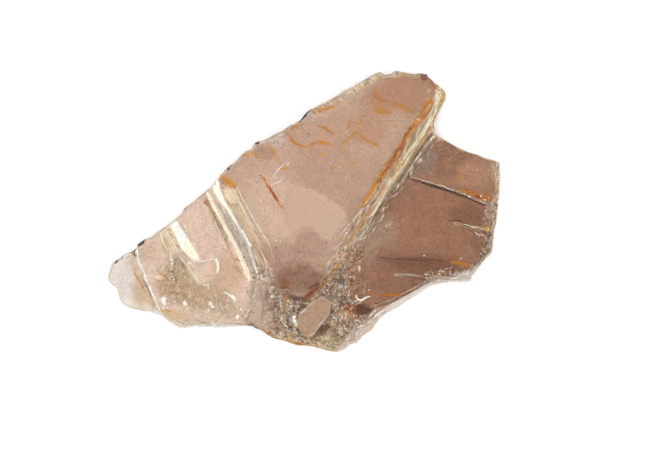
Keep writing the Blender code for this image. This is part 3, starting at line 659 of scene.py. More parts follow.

# Marks that run along lines, each given as points with the half width there, and a strength. Fibrous bright
# streaks, the white of split sheets that is also a painted highlight on the kinks' tilted faces; rust (with
# its depth from ochre at 0 to red-brown at 1); and dark lines of painted shade in creases, gaps and below the
# crack.
BRIGHT_LINES = [
    ([(-13.6, -8.6, 0.2), (-13.2, -10.4, 0.24), (-12.7, -12.2, 0.28), (-12.2, -13.8, 0.24),
      (-11.8, -15.2, 0.14)], 1.2),
    ([(-22.8, 5.6, 0.14), (-21.4, 3, 0.16), (-19.6, -0.4, 0.14), (-16.8, -5.4, 0.12)], 0.9),
    ([(-24.6, 1.6, 0.1), (-22.6, -1.8, 0.1), (-20.4, -6.2, 0.1)], 0.8),
    ([(-16.9, 6.4, 0.14), (-14.7, 2.1, 0.16), (-12.6, -1.9, 0.16), (-10.7, -4.9, 0.16), (-8.6, -8.3, 0.14),
      (-7.4, -12, 0.12)], 1),
    ([(-17.4, 5.2, 0.1), (-15.6, 1.4, 0.12), (-13.6, -2.8, 0.12), (-11.6, -6.6, 0.12), (-9.9, -11.6, 0.12)],
     0.8),
    ([(-13.4, -8.4, 0.12), (-11.6, -11.6, 0.14), (-10.2, -14, 0.12)], 0.9),
    ([(-31, -1.4, 0.16), (-29.8, -3.6, 0.16), (-28.5, -6, 0.12)], 0.9),
    ([(-31.2, -11, 0.14), (-28.6, -14.2, 0.16), (-25.5, -17.8, 0.14), (-23.3, -20.4, 0.1)], 0.9),
    ([(-30.2, -10.6, 0.12), (-27.8, -13.8, 0.14), (-24.9, -17.4, 0.12)], 0.8),
    ([(-41.9, -9.2, 0.25), (-41.8, -11.6, 0.3), (-41, -13.8, 0.28), (-40, -15.6, 0.25), (-39.2, -18, 0.14),
      (-38.6, -19.3, 0.25), (-37.5, -21.7, 0.14), (-36.6, -23.6, 0.2), (-35.8, -25.6, 0.14)], 1.3),
    ([(-36.2, -5.2, 0.2), (-34.6, -8.4, 0.2), (-33, -12.4, 0.3), (-33.4, -16, 0.3)], 0.75),
    ([(-29.5, -12.9, 0.08), (-25.9, -12.5, 0.1), (-23.1, -11.9, 0.14), (-22.2, -12, 0.2), (-21.6, -13, 0.35),
      (-21.5, -14.3, 0.3), (-21.7, -15.4, 0.1)], 1.3),
    ([(-36.6, -24.2, 0.16), (-33, -23.9, 0.1), (-29.8, -23.9, 0.1), (-26.5, -24.5, 0.12),
      (-23.7, -25.5, 0.1)], 0.7),
    ([(-20, -20.3, 0.14), (-18.5, -20.9, 0.22), (-17.4, -21.8, 0.3), (-17, -22.6, 0.1)], 1.2),
    ([(-25.1, -18.7, 0.14), (-23.9, -18.1, 0.16), (-24, -20, 0.1)], 1),
    ([(-22.4, -23.8, 0.16), (-21, -23.9, 0.14), (-19.4, -23.7, 0.16)], 0.9),
    ([(-15.8, -23.9, 0.12), (-15, -25.6, 0.12), (-14.4, -26.8, 0.12)], 0.9),
    ([(-12.1, -17.5, 0.2), (-12.4, -20.9, 0.2), (-13.3, -24.2, 0.18), (-14.5, -26.4, 0.16)], 0.85),
    ([(34, 30.6, 0.25), (33.6, 28.6, 0.28), (33.4, 26.4, 0.2), (32.6, 24.2, 0.15), (31.4, 22.2, 0.14),
      (29.9, 19.6, 0.14), (28, 16.2, 0.13), (26, 13, 0.12), (23.7, 9.5, 0.12), (21.8, 6.6, 0.11),
      (20, 4, 0.1), (17.3, -0.9, 0.12), (15.7, -4.5, 0.14), (13.2, -7.6, 0.1), (11.7, -9.4, 0.08)], 1.05),
    ([(33.2, 19.5, 0.14), (31.8, 18.3, 0.14), (30.2, 16.2, 0.14), (27.6, 12.6, 0.1), (25, 9.2, 0.1)], 1),
    ([(19.4, 8, 0.08), (16.6, 3.7, 0.1), (13.9, -0.3, 0.1), (10.5, -4.2, 0.1), (7.8, -8.2, 0.1)], 0.75),
    ([(26.5, 8.5, 0.07), (28.4, 8.3, 0.08), (29.9, 7.6, 0.08), (31.7, 7.4, 0.09), (33.2, 6.6, 0.09),
      (34.4, 6.5, 0.09), (36, 5.6, 0.09), (37.4, 5.3, 0.09), (38.6, 4.5, 0.1), (39.8, 4.4, 0.1),
      (41.2, 3.6, 0.12), (43, 2.9, 0.12), (44.8, 2.2, 0.12), (46.6, 1.5, 0.1)], 1.15),
    ([(27.1, 11.5, 0.08), (26.5, 10, 0.1), (26.6, 8.6, 0.1)], 0.8),
    ([(38.7, -2.9, 0.08), (41.2, -3.5, 0.12), (43.6, -4, 0.16), (45, -4.4, 0.1)], 0.9),
    ([(31.4, -16.5, 0.14), (34.1, -16.6, 0.12), (37.8, -16.8, 0.14), (41.2, -17.5, 0.12)], 0.95),
    ([(32.2, -16.4, 0.1), (28.3, -18.6, 0.12), (25, -20.4, 0.12), (21, -22.4, 0.12), (17.2, -23.6, 0.14)],
     0.9),
    ([(17.7, -24.8, 0.2), (15.2, -27.6, 0.16), (13.4, -29.2, 0.16)], 0.75),
    ([(9.8, -33.3, 0.1), (12.6, -32.8, 0.1), (14.8, -31.2, 0.1)], 1),
    ([(10, -34.2, 0.1), (13, -33.6, 0.1), (15.6, -31.8, 0.1)], 1),
    ([(13, -21, 0.16), (13.4, -21.9, 0.2), (14.3, -22.2, 0.22), (15.4, -21.5, 0.16), (16.4, -21.2, 0.1)],
     1.3),
]
RUST_LINES = [
    ([(31.8, 28, 0.6), (31.3, 26.2, 1.2), (30, 24.3, 1), (28.5, 22.6, 0.8), (27.1, 21, 0.8), (25.8, 19, 0.8),
      (24.6, 16.8, 0.7), (23.6, 15, 0.9), (22.4, 12.8, 1.1), (20.9, 10.8, 1.1), (19.2, 8.4, 0.9),
      (17.9, 6.5, 0.9), (16, 3.7, 0.6), (14.7, 1.5, 0.4)], 0.78, 0.22),
    ([(27.4, 21.4, 0.5), (25.6, 19, 0.45), (24.5, 16.4, 0.5), (23, 14.6, 0.55), (22, 12.2, 0.45),
      (20.2, 9.8, 0.4), (18.6, 7.4, 0.4)], 1, 0.85),
    ([(31.9, 27.4, 0.5), (31.7, 25.6, 0.6), (29.6, 23.8, 0.5)], 0.9, 0.45),
    ([(24.6, 12.4, 0.5), (21, 7, 0.6), (18, 2.6, 0.6), (14.6, -2.6, 0.6), (11.6, -7, 0.6)], 0.42, 0),
    ([(31.6, 20.8, 0.4), (29.4, 17.6, 0.4), (26.6, 13.6, 0.4), (24, 10.2, 0.3)], 0.45, 0.05),
    ([(-10.6, 9, 0.2), (-9, 6.5, 0.28), (-7.8, 4.7, 0.4), (-6.6, 2.8, 0.32), (-5.3, 0.8, 0.2)], 0.85, 0.4),
    ([(-8.6, 5.9, 0.2), (-7.8, 4.7, 0.3), (-6.6, 2.8, 0.2)], 1.2, 1),
    ([(2.6, 25.2, 0.8), (5, 25.8, 1), (8.4, 26.8, 0.8)], 0.28, 0.1),
    ([(-1.6, 21.6, 0.4), (-3, 20.8, 0.4)], 0.6, 0.4),
    ([(-12, 15.3, 0.12), (-12.1, 13.8, 0.14), (-10.9, 12.5, 0.12)], 0.7, 0),
    ([(-15.5, 14.1, 0.14), (-13.7, 13.9, 0.14)], 0.8, 0), ([(13.6, 22.2, 0.3), (14.2, 22, 0.3)], 0.6, 0.1),
    ([(4.4, 14, 0.3), (5, 14.3, 0.3)], 0.85, 0), ([(11.2, 11.8, 0.25), (12.6, 12.2, 0.2)], 0.75, 0),
    ([(7.4, 10.9, 0.25), (8.2, 10.8, 0.2)], 0.75, 0.1), ([(9.2, 15.4, 0.25), (9.9, 15.3, 0.25)], 0.7, 0.1),
    ([(-9, 17, 0.16), (-7, 14.8, 0.18), (-6.2, 12, 0.18), (-5.4, 10.6, 0.25), (-4.2, 10.9, 0.35)], 0.7, 0),
    ([(-12.6, 15, 0.2), (-11.2, 12.8, 0.2)], 0.66, 0.2), ([(-15.2, 14.2, 0.3), (-12.8, 14.4, 0.2)], 0.6, 0),
    ([(-20.6, 8.8, 0.6), (-19.6, 7.5, 0.8), (-18.2, 7, 0.8), (-17.2, 6.2, 0.4)], 0.9, 0.12),
    ([(-24.8, 2.4, 0.3), (-24.2, 1.6, 0.25)], 0.5, 0.7), ([(-22.2, -1.6, 0.2), (-21.2, -4, 0.3)], 0.4, 0.35),
    ([(-33.8, -4.4, 0.14), (-32.8, -6.6, 0.14), (-31.6, -8.9, 0.16)], 0.5, 0.5),
    ([(-42.8, -14.4, 0.2), (-42, -16.4, 0.25), (-41, -18, 0.2), (-39.6, -20.2, 0.25), (-38.8, -21.4, 0.3),
      (-37.6, -23.6, 0.2)], 0.45, 0.4),
    ([(-42.6, -10.4, 0.25), (-42.4, -11.2, 0.2)], 0.9, 0.9),
    ([(-36, -24.4, 0.3), (-33, -25.2, 0.3), (-30.6, -26, 0.2)], 0.36, 0),
    ([(-17.6, -11.6, 0.25), (-16.4, -12.4, 0.3)], 0.4, 0.4),
    ([(-17.6, -13.8, 0.35), (-17, -13.8, 0.3)], 0.4, 0.1),
    ([(10.9, -10.4, 0.4), (10.1, -11.8, 0.4)], 0.9, 0.2), ([(4.6, -13.8, 0.3), (4.9, -14, 0.25)], 0.9, 0.15),
    ([(9.4, -12.4, 0.25), (8, -14.2, 0.3), (6, -16.8, 0.25), (4, -19, 0.4)], 0.7, 0.3),
    ([(3.2, -19.2, 0.5), (2.2, -20.4, 0.7), (1.2, -21.6, 0.5)], 0.9, 0.6),
    ([(-4.6, -21.8, 0.3), (-3.6, -21.6, 0.3)], 0.8, 0), ([(-8.6, -30.4, 0.3), (-9.4, -30.2, 0.3)], 0.7, 0.7),
    ([(-7.2, -29, 0.3), (-6.4, -29.4, 0.3)], 0.7, 0.1),
    ([(-10.4, -30.4, 0.16), (-6.4, -32, 0.22), (-3.4, -33, 0.4), (-1.2, -33.4, 0.5), (1.6, -33.9, 0.22),
      (5, -34.9, 0.25), (8.2, -35.3, 0.2)], 1.1, 0.1),
    ([(19, -20.9, 0.2), (21.4, -20.8, 0.4), (23.8, -20.6, 0.3)], 1.1, 0.4),
    ([(24.4, -20.8, 0.2), (27.4, -19.4, 0.2)], 0.6, 0.4), ([(11, -24, 0.4), (11.8, -24.6, 0.4)], 0.8, 0.6),
    ([(16, -20, 0.25), (16.4, -20.4, 0.25)], 0.8, 0.2), ([(14.2, -23, 0.25), (14.8, -23.1, 0.2)], 0.7, 0.6),
    ([(36.8, -12.6, 0.35), (38.6, -12.9, 0.5), (40.4, -13.2, 0.4), (42.4, -13.9, 0.4)], 0.8, 0.1),
    ([(39.2, 5.2, 0.4), (41.4, 4.6, 0.6), (43.8, 3.8, 0.6), (46.4, 3.2, 0.6)], 0.8, 0.35),
    ([(43.2, 3.8, 0.35), (44, 3.5, 0.35)], 1.1, 0.9), ([(39.3, 9.4, 0.25), (39.2, 8.2, 0.3)], 0.8, 0.1),
    ([(48, 6.4, 0.4), (47.6, 5.2, 0.4)], 0.6, 0.2), ([(44.9, -4.3, 0.35), (46.4, -4.5, 0.35)], 1.1, 0),
    ([(32.9, 31.6, 0.25), (33, 30.6, 0.25)], 0.8, 0), ([(35.4, 30.2, 0.3), (35.2, 29, 0.3)], 0.6, 0),
    ([(33.4, 25.4, 0.2), (32.6, 23.4, 0.2)], 0.7, 0.1),
    ([(34.4, 18.4, 0.14), (37.4, 17, 0.16), (40.6, 15.6, 0.12)], 0.8, 0.3),
    ([(42.8, 14.6, 0.12), (45, 13.3, 0.14)], 0.8, 0.4), ([(28.6, 17.6, 0.2), (27, 14.6, 0.14)], 0.6, 0),
    ([(31.8, -17.2, 0.2), (33, -17.4, 0.25)], 0.7, 0),
]
# Dark lines of painted shade: darker along creases, gaps and steps, with painted shadows beside a streak and
# below the crack.
PAINTED_SHADE_LINES = [
    ([(-20.6, 8.4, 0.3), (-20.2, 7, 0.3)], 0.8),
    # painted shadow left of the second white streak
    ([(-24.6, 3.6, 0.2), (-22.8, -0.4, 0.3), (-21, -4.2, 0.3), (-19.6, -7, 0.3), (-18.6, -9, 0.2)], 0.6),
    ([(-18.2, 1.6, 0.14), (-17.4, 1.8, 0.14)], 0.8), ([(-18.6, -1.8, 0.1), (-15.4, -7.4, 0.1)], 0.55),
    ([(-11, -12.4, 0.4), (-10, -15.6, 0.5)], 0.6),
    ([(-33.4, -14.6, 0.5), (-31.8, -16, 0.5), (-32.6, -19, 0.5)], 0.6),
    ([(-30.8, -12.8, 0.3), (-29.8, -14.4, 0.3)], 0.5), ([(-35, -20, 0.3), (-32, -20.4, 0.4)], 0.55),
    # painted shadow below the crack's step
    ([(26.8, 7.9, 0.2), (29.4, 7.3, 0.25), (32, 6.5, 0.3), (35, 5.5, 0.35), (38, 4.5, 0.3), (42, 2.8, 0.25),
      (45, 1.6, 0.25)], 1.15),
    ([(36.4, -2.2, 0.35), (39, -2.4, 0.4), (41.2, -4.7, 0.25), (43.4, -5.4, 0.4), (45.2, -5.2, 0.3)], 0.7),
    ([(16.2, -11.2, 0.12), (20, -11.6, 0.2), (24, -11.8, 0.35), (28, -12, 0.4), (33, -12.2, 0.35),
      (35.6, -12.4, 0.14)], 0.75),
    ([(26, -11.6, 0.1), (30, -10.6, 0.2), (34.6, -10.2, 0.2)], 0.45),
    ([(20.6, -15.9, 0.14), (24.6, -16.2, 0.14), (29.6, -16.9, 0.25), (31, -17.2, 0.3)], 0.75),
    ([(18, -23, 0.3), (20.4, -22.8, 0.16), (23.6, -21.6, 0.14), (27.6, -19.8, 0.14)], 0.7),
    ([(34.6, -15.8, 0.3), (37.6, -15, 0.25)], 0.7), ([(40.6, -13.2, 0.3), (42.8, -13.2, 0.25)], 0.7),
    # painted shade in the groove right of the right reeve
    ([(30.4, 16, 0.3), (28.8, 13.4, 0.2), (27, 10.6, 0.2)], 0.55),
    ([(24.6, 17.2, 0.14), (23.6, 13.4, 0.14), (24.8, 14.2, 0.1)], 0.6),
    ([(18.4, 6.2, 0.25), (19.3, 4.4, 0.25)], 0.85), ([(21.6, 30.6, 0.16), (23.2, 30.4, 0.14)], 0.5),
    ([(-0.6, -21.6, 0.5), (-2.8, -21.8, 0.6), (-4, -20.6, 0.3)], 0.75),
    ([(3.6, -17.8, 0.3), (1.4, -19.2, 0.4)], 0.8), ([(-2.6, -24.2, 0.35), (0, -24, 0.25)], 0.75),
    ([(-6.4, -25.6, 0.4), (-5.2, -26.2, 0.4)], 0.6), ([(-3.8, -28.6, 0.4), (-1.8, -30.8, 0.4)], 0.7),
    ([(6.8, -26.4, 0.25), (6.4, -28.2, 0.3)], 0.6), ([(7.6, -17.4, 0.4), (6.8, -19.6, 0.4)], 0.7),
    ([(13.9, -21.5, 0.25), (14.4, -21.4, 0.2)], 0.9), ([(12.2, -29.2, 0.25), (13, -31, 0.16)], 0.6),
    ([(-13.2, -25, 0.25), (-12.4, -25.4, 0.2)], 0.6), ([(-7, -23, 0.3), (-5.8, -22.6, 0.2)], 0.7),
]

# Small spots: the place, the radius and the colour.
SPOTS = [
    ((-13.3, -28.4), 0.4, BLACK), ((-35.1, -22.2), 0.6, WHITE), ((-35, -22.8), 0.5, WHITE),
    ((-29.7, -23), 0.5, WHITE), ((-35.4, -24.3), 0.35, WHITE), ((-22.8, -28.3), 0.6, WHITE),
    ((-21.4, -27.8), 0.4, CREAM), ((-23.5, -22.9), 0.4, WHITE), ((-22.9, -23.8), 0.4, WHITE),
    ((-23.9, -24.8), 0.3, WHITE), ((-16.6, -26.4), 0.5, WHITE), ((9.2, -18.7), 0.45, (200, 190, 205)),
    ((-7.9, -21.2), 0.4, WHITE), ((45.9, -4.4), 0.4, (206, 172, 95)), ((45.1, -4.3), 0.4, (206, 172, 95)),
    ((8.9, -20.7), 0.4, CREAM),
]


# Soft stains: lines with the half width at each point, the colour and its strength.
STAINS = [
    ([(-4.8, 20.5, 0.4), (-3.8, 19, 0.6), (-3, 17.9, 0.5)], (198, 138, 88), 0.75),
    ([(-3, 17.9, 0.4), (-2, 16.9, 0.35), (-0.6, 16.3, 0.3), (1.4, 16.4, 0.3), (3.4, 17.2, 0.45),
      (4.6, 17.2, 0.5), (6.2, 16.8, 0.35)], (200, 124, 50), 1),
    ([(0.6, 15.4, 1), (3.6, 14.8, 1.2)], (200, 158, 128), 0.6),
    ([(3.6, 21.4, 0.2), (5.2, 20.9, 0.35), (6.4, 20, 0.35), (7.6, 19.3, 0.25)], (192, 124, 62), 1),
    ([(9, 16.4, 0.3), (10.6, 17.8, 0.4), (12.2, 19, 0.45), (13.8, 19.9, 0.5)], (198, 142, 66), 0.9),
    ([(14.6, 18.8, 0.4), (16.2, 17.6, 0.35), (18.4, 16.6, 0.4)], (192, 134, 52), 0.95),
    ([(17.6, 30.4, 0.3), (18, 28.9, 0.4), (18.9, 28, 0.4), (20.2, 27.6, 0.4)], (190, 122, 62), 0.95),
    ([(18.3, 25.6, 0.8), (19.6, 25.4, 0.8)], (196, 136, 52), 0.9),
    ([(18.3, 24.6, 0.35), (21.6, 24.8, 0.35)], (192, 128, 52), 0.9),
    ([(22.4, 26.8, 0.5), (24.2, 26.4, 0.6), (25.6, 25.4, 0.6), (27, 25, 0.4)], (190, 130, 62), 0.85),
    ([(10.8, 20.8, 0.35), (11.5, 21.8, 0.4), (12, 22.6, 0.35)], (196, 128, 60), 0.95),
    ([(13.4, 22.2, 0.35), (14.2, 22, 0.35)], (192, 136, 78), 0.8),
    ([(18.6, 20.4, 0.5), (22.4, 21.2, 0.6), (26, 20.6, 0.4)], (196, 148, 116), 0.5),
    ([(4.1, 25.3, 0.5), (5.6, 25.7, 0.6), (7.2, 26, 0.45)], (206, 150, 70), 0.85),
    ([(-4.7, -17.8, 1.1), (-4.9, -19, 1)], (150, 92, 62), 0.8),
    ([(31, 26.4, 1.5), (28.6, 22.6, 1), (25.2, 17.6, 0.9), (22.4, 12.8, 1.2), (20.4, 10, 1.1),
      (17.8, 6.4, 0.9), (15, 2, 0.6)], (188, 142, 92), 0.55),
    ([(39.4, 5.4, 0.7), (43, 4.2, 0.9), (46.6, 3.4, 0.8)], (160, 112, 74), 0.6),
]


# Black crust on the upper left edge: stretches of it, with how far it reaches in.
CRUST = [
    ([(-43.4, -10.1), (-42.5, -9.4)], 0.2), ([(-41.7, -8.1), (-40.4, -7.2)], 0.35),
    ([(-47.3, -12.4), (-47, -12.2)], 0.2), ([(-45.6, -11.5), (-45.5, -11.4)], 0.1),
    ([(-30.2, 0.8), (-29.9, 1)], 0.15), ([(-19.6, 10.4), (-18.4, 11.4)], 0.25),
    ([(-12.3, 17.4), (-11.6, 17.4)], 0.3), ([(-7.4, 19.4), (-6.8, 19.7)], 0.12),
    ([(-4.6, 20.8), (-3.2, 21.6)], 0.12), ([(-1.2, 22.9), (0.2, 24.2), (1.3, 25.4)], 0.3),
    ([(-13.6, -28.2), (-12.2, -29.2)], 0.4),
]


# How bright the stage's light makes white, in the picture: through the clear sheets and back from the floor,
# and straight off the cloudy part of a surface. Then the shine of a surface, which is twice that where it is
# clear.
THROUGH, OFF_CLOUDY, SHINE = 0.72, 1.37, 0.022
ABSORPTION = np.array([45.0, 90.0, 112.0])  # per metre, for red, green and blue
CLEAR_BODY, SMOOTH, CLOUDY_ROUGH = 0.80, 0.16, 0.3  # how see-through and rough a face is, and a cloudy zone
COLOUR_RANGE = 0.004, 0.96  # the darkest and lightest base colours
LIGHT_WAY = 2.1  # the light's way through the sheets and back, beside their thickness
UNDER_MARK, UNDER_BIT = 0.7, 0.6  # the share of light that the body under a mark or a splinter lets through


def linear(colour):
    """An sRGB colour, from 0 to 255, in linear light."""
    c = np.asarray(colour, float) / 255
    return np.where(c <= 0.04045, c / 12.92, ((c + 0.055) / 1.055) ** 2.4)


class Paint:
    """The look of some points from above: colour, how see-through and rough they are, and their marks."""

    def __init__(self, points, thickness):
        """Paint the points, in millimetres, over a book that is so thick at each."""
        self.points = points
        self.mottle, self.fine = fractal(points, 5.0, 60.0), fractal(points, 1.2, 61.0)
        heights = [h for h, _ in THICKNESS_TINTS]
        tints = linear([c for _, c in THICKNESS_TINTS])
        self.colour = np.column_stack([np.interp(thickness, heights, tints[:, i]) for i in range(3)])
        self.colour *= (1 + 0.05 * self.mottle + 0.03 * self.fine)[:, None]
        self.clear = np.full(len(points), CLEAR_BODY)
        self.rough = np.full(len(points), SMOOTH)
        # The third mark, how dark, is painted shade.
        self.marks = np.zeros((len(points), 4))  # how bright, how rusty, how dark, and the depth of the rust
        self.crushed = np.zeros(len(points))
        self.faces()
        self.texture()
        self.lines_and_spots()
        self.crust()

    def add(self, mask, colour, clear=None, rough=None, here=slice(None)):
        """Blend a colour in by a mask, at all the points or at those with the given indices."""
        self.colour[here] += mask[:, None] * (linear(colour) - self.colour[here])
        if clear is not None:
            self.clear[here] += mask * (clear - self.clear[here])
        if rough is not None:
            self.rough[here] += mask * (rough - self.rough[here])

    def along(self, line, strength):
        """The indices of the points along a line, with how near each is to it beside its width there."""
        widths = np.array([w for _, _, w in line])
        here = around(line, self.points, 2 * widths.max() + 0.1)
        away, share = nearest(line, self.points[here])
        run = run_along(line)
        width = np.interp(share * run[-1], run, widths)
        return here, strength * (1 - step(0.45, 1.55, away / width))

    def mark(self, line, channel, strength):
        """Mark the points along a line, and return their indices with how strongly each is marked."""
        here, amount = self.along(line, strength)
        self.marks[here, channel] = np.maximum(self.marks[here, channel], amount)
        return here, amount

    def within(self, outline, soft, ragged_by=0.0):
        """The indices of the points in a soft-edged outline, and how far into it each is, from 0 to 1."""
        here = around(outline, self.points, 2 * soft)
        depth = depth_in(outline, self.points[here]) + ragged_by * soft * self.fine[here]
        return here, step(-soft, soft, depth)

    def faces(self):
        """The colours of the cleavage faces: clouds, zones, stains and the haze of the upper left rim."""
        for (x, y), (reach_x, reach_y), colour, strength in CLOUDS:
            away = np.hypot((self.points[:, 0] - x) / reach_x, (self.points[:, 1] - y) / reach_y)
            self.add(strength * (1 - step(0.5, 1.15, away + 0.25 * self.mottle)), colour)
        for outline, soft, colour, strength, clear in ZONES:
            here, amount = self.within(outline, soft, 0.5)
            self.add(strength * amount, colour, clear, CLOUDY_ROUGH if clear else None, here)
        for line, colour, strength in STAINS:
            here, amount = self.along(line, strength)
            self.add(amount * (0.9 + 0.9 * self.fine[here]).clip(0.2, 1), colour, None, None, here)
        here = np.nonzero(self.points[:, 1] > UPPER_LEFT[0] * self.points[:, 0] + UPPER_LEFT[1])[0]
        rim = (1 - step(0.1, 0.9, depth_in(OUTLINE, self.points[here]))) * RIM_HAZE
        self.add(rim, HAZE, 0.3, 0.4, here)

    def texture(self):
        """Where the book is crushed, fibrous and mottled."""
        for outline, soft, strength in CRUSHED_ZONES:
            here, amount = self.within(outline, soft)
            self.crushed[here] = np.maximum(self.crushed[here], strength * amount)
        self.fibrous = fibrous(self.points) * (1 - self.crushed)
        foot = 1 - step(0.6, 1.1, np.hypot(*((self.points - FOOT_CENTRE) / FOOT_REACH).T))
        block = step(-0.5, 0.5, depth_in(REGIONS["block"], self.points))
        self.mottled = np.maximum(0.4 + 0.4 * block, 0.4 + 0.7 * foot)
        self.mottled[inside(LENS, self.points)] = LENS_MOTTLING
        for outline, soft in ((WINDOW, 0.3), (SHADOW, 0.3), (BIG_FLAKE, 0.2)):
            here, amount = self.within(outline, soft)
            self.crushed[here] *= 1 - 0.85 * amount

    def lines_and_spots(self):
        """The marks along lines, and the small spots."""
        for line, strength in BRIGHT_LINES:
            self.mark(line, 0, THREAD_STRENGTH * strength if is_thin(line) else strength)
        for line, strength, depth in RUST_LINES:
            here, amount = self.mark(line, 1, strength)
            leads = amount >= self.marks[here, 1] - 1e-9
            self.marks[here[leads], 3] = depth
        # Painted shade along creases, gaps and the crack.
        for line, strength in PAINTED_SHADE_LINES:
            self.mark(line, 2, strength)
        for place, radius, colour in SPOTS:
            here = around([place], self.points, 2 * radius)
            away = np.linalg.norm(self.points[here] - np.array(place), axis=1) * (1 + 0.25 * self.fine[here])
            self.add(1 - step(radius * 0.7, radius * 1.2, away), colour, 0.2, CLOUDY_ROUGH, here)
        self.clear = np.minimum(self.clear, 1 - 0.6 * step(0.42, 0.85, self.colour.max(axis=1)))
        self.fibrous *= np.clip(self.clear / 0.5, 0, 1) ** 2

    def crust(self):
        """Black crust on stretches of the edge."""
        for line, reach in CRUST:
            here = around(line, self.points, 2.0)
            edge = depth_in(OUTLINE, self.points[here]) + 0.3 * reach * self.fine[here]
            beside = 1 - step(0.1, 0.5, nearest(line, self.points[here])[0] - reach)
            broken = step(-0.9, -0.4, (self.mottle + self.fine)[here])
            self.add(beside * (1 - step(reach, 1.5 * reach, edge)) * broken, CRUST_COLOUR, 0.05, 0.5, here)


def is_thin(line):
    """Whether a bright line is a thread, rather than a streak."""
    return max(w for _, _, w in line) < THREAD_WIDTH


def around(line, points, margin):
    """Indices of the points in the box around a line, widened by a margin."""
    low, high = box(line)
    return np.nonzero(((points > low - margin) & (points < high + margin)).all(axis=1))[0]


THREAD_WIDTH = 0.2
UPPER_LEFT = 0.727, 15  # the slope and height of a line below the long upper left side
RIM_HAZE, HAZE = 0.75, (226, 208, 190)  # how cloudy that side's rim is, and its colour
FOOT_CENTRE, FOOT_REACH = (-1, -15), (10, 6)  # of the mottled ground above the foot
LENS_MOTTLING = 0.12  # the lens is smooth
THREAD_STRENGTH = 0.6  # of a thread's mark, beside a streak's
CRUST_COLOUR = 20, 16, 18

# Where the sheets are crushed into a mesh of splinters: the outline, how soft its edge is, how much.
CRUSHED_ZONES = [
    ([(-7.6, -18.4), (-5.6, -19.6), (-3, -22), (0.8, -21.2), (4, -18.2), (7.2, -14.6), (9.6, -14.4),
      (11.8, -19.4), (13.2, -22.4), (17, -24.6), (15.6, -28.4), (11.4, -31.6), (7.6, -34.6), (0, -33.6),
      (-7.6, -31), (-9, -28.4), (-7.6, -22.6)], 0.9, 1),
    (LOWER_LEFT, 2.2, 0.34),
    ([(-12, -15.6), (-7, -15.6), (-7.4, -28.4), (-13.4, -28), (-12.4, -20.6)], 1, 0.3),
    ([(-37.6, -13.8), (-33.6, -13.2), (-31.4, -13.4), (-30.6, -18), (-33, -20.4), (-37.4, -19.6)], 1.2, 0.5),
    ([(45, -12.6), (43.8, -10.8), (46.4, -5.4), (46.8, -3), (46.8, 1.8), (47.6, 3.2), (47.4, 12.8), (50, 13),
      (50, -9), (46, -13)], 1.3, 1),
    ([(7.6, -9.6), (14.4, -4.6), (15.6, -8), (14.2, -14.6), (12, -19.6), (6.4, -18), (4.8, -17.6)], 0.8,
     0.75),
    ([(30, -15.4), (31.6, -15), (38.6, -14.6), (43, -13.2), (42.6, -14.6), (37, -16.4), (30, -18)], 0.5, 0.8),
    ([(-13.6, -14), (-7.4, -13.6), (-6.8, -16.6), (-13.4, -17.6)], 0.6, 0.9), (PALE_STRETCH, 0.4, 0.7),
    (CREAM_STRETCH, 0.4, 0.8), (HAZY_STRETCH, 0.8, 0.5),
    ([(18.6, 35.6), (30.4, 35.2), (36.4, 31.4), (36.6, 28), (34.6, 28.6), (32.6, 31.8), (30.2, 33.8),
      (24, 34), (20, 33)], 0.3, 0.8),
    ([(-4, 19.6), (-3.4, 14.6), (-5.4, 14), (-5.8, 17)], 0.6, 0.4),
]


def fibrous(points):
    """How strongly the sheets are drawn out into fibres at many points: fully in the large kinks."""
    found = np.zeros(len(points))
    for name, strength in FIBROUS:
        lines = KINKS[name][2]
        outline = list(lines[0][0]) + list(lines[-1][0])[::-1]
        found = np.maximum(found, strength * step(-0.4, 0.6, depth_in(outline, points)))
    return found


FIBROUS = [("left_reeve", 0.9), ("right_reeve", 1.0), ("far_left_kink", 0.3), ("small_kink", 0.6)]


def fibre_way(points):
    """Distances across and along the fibres at each point, with those along drawn out."""
    x, y = points[:, 0], points[:, 1]
    headings, drawn = np.zeros(len(points)), np.full(len(points), LEVEL_SHARE)
    for outline, degrees, share in FIBRE_HEADINGS:
        here = inside(outline, points)
        headings[here], drawn[here] = math.radians(degrees), share
    across = -x * np.sin(headings) + y * np.cos(headings)
    along = x * np.cos(headings) + y * np.sin(headings)
    return np.column_stack([across, along * drawn, headings * 7])


# Regions, the heading of their fibres in degrees from the X axis, and how fine they are for their length.
FIBRE_HEADINGS = [
    ([(-60, 30), (-60, -30), (-27, -40), (-24.6, -12), (-30.5, 2)], -68, 0.1),
    ([(-30.5, 2), (-24.6, -12), (-20, -20), (-4, -20), (-6, -8), (-18, 14)], -63.5, 0.08),
    ([(-6, -8), (6, -11), (12.5, -12.5), (36, 18), (40, 34), (24, 36), (8, -2)], 56.6, 0.18),
]
LEVEL_SHARE = 0.3  # how fine the grain is for its length away from those regions


def bare_colour(look, clear, through):
    """The base colour that looks so, where it is so see-through and so much light comes back through it."""
    return (look - SHINE * (1 + clear)) / (through + OFF_CLOUDY * (1 - clear))


def base_colour(look, thickness):
    """The shader's base colour that gives the painted look, through the sheets and back."""
    clear = look.clear[:, None]
    through = THROUGH * clear ** 2 * np.exp(-LIGHT_WAY * ABSORPTION * thickness[:, None] * MM)
    return np.clip(bare_colour(look.colour, clear, through), *COLOUR_RANGE)


# ---------------------------------------------------------------- the book's mesh


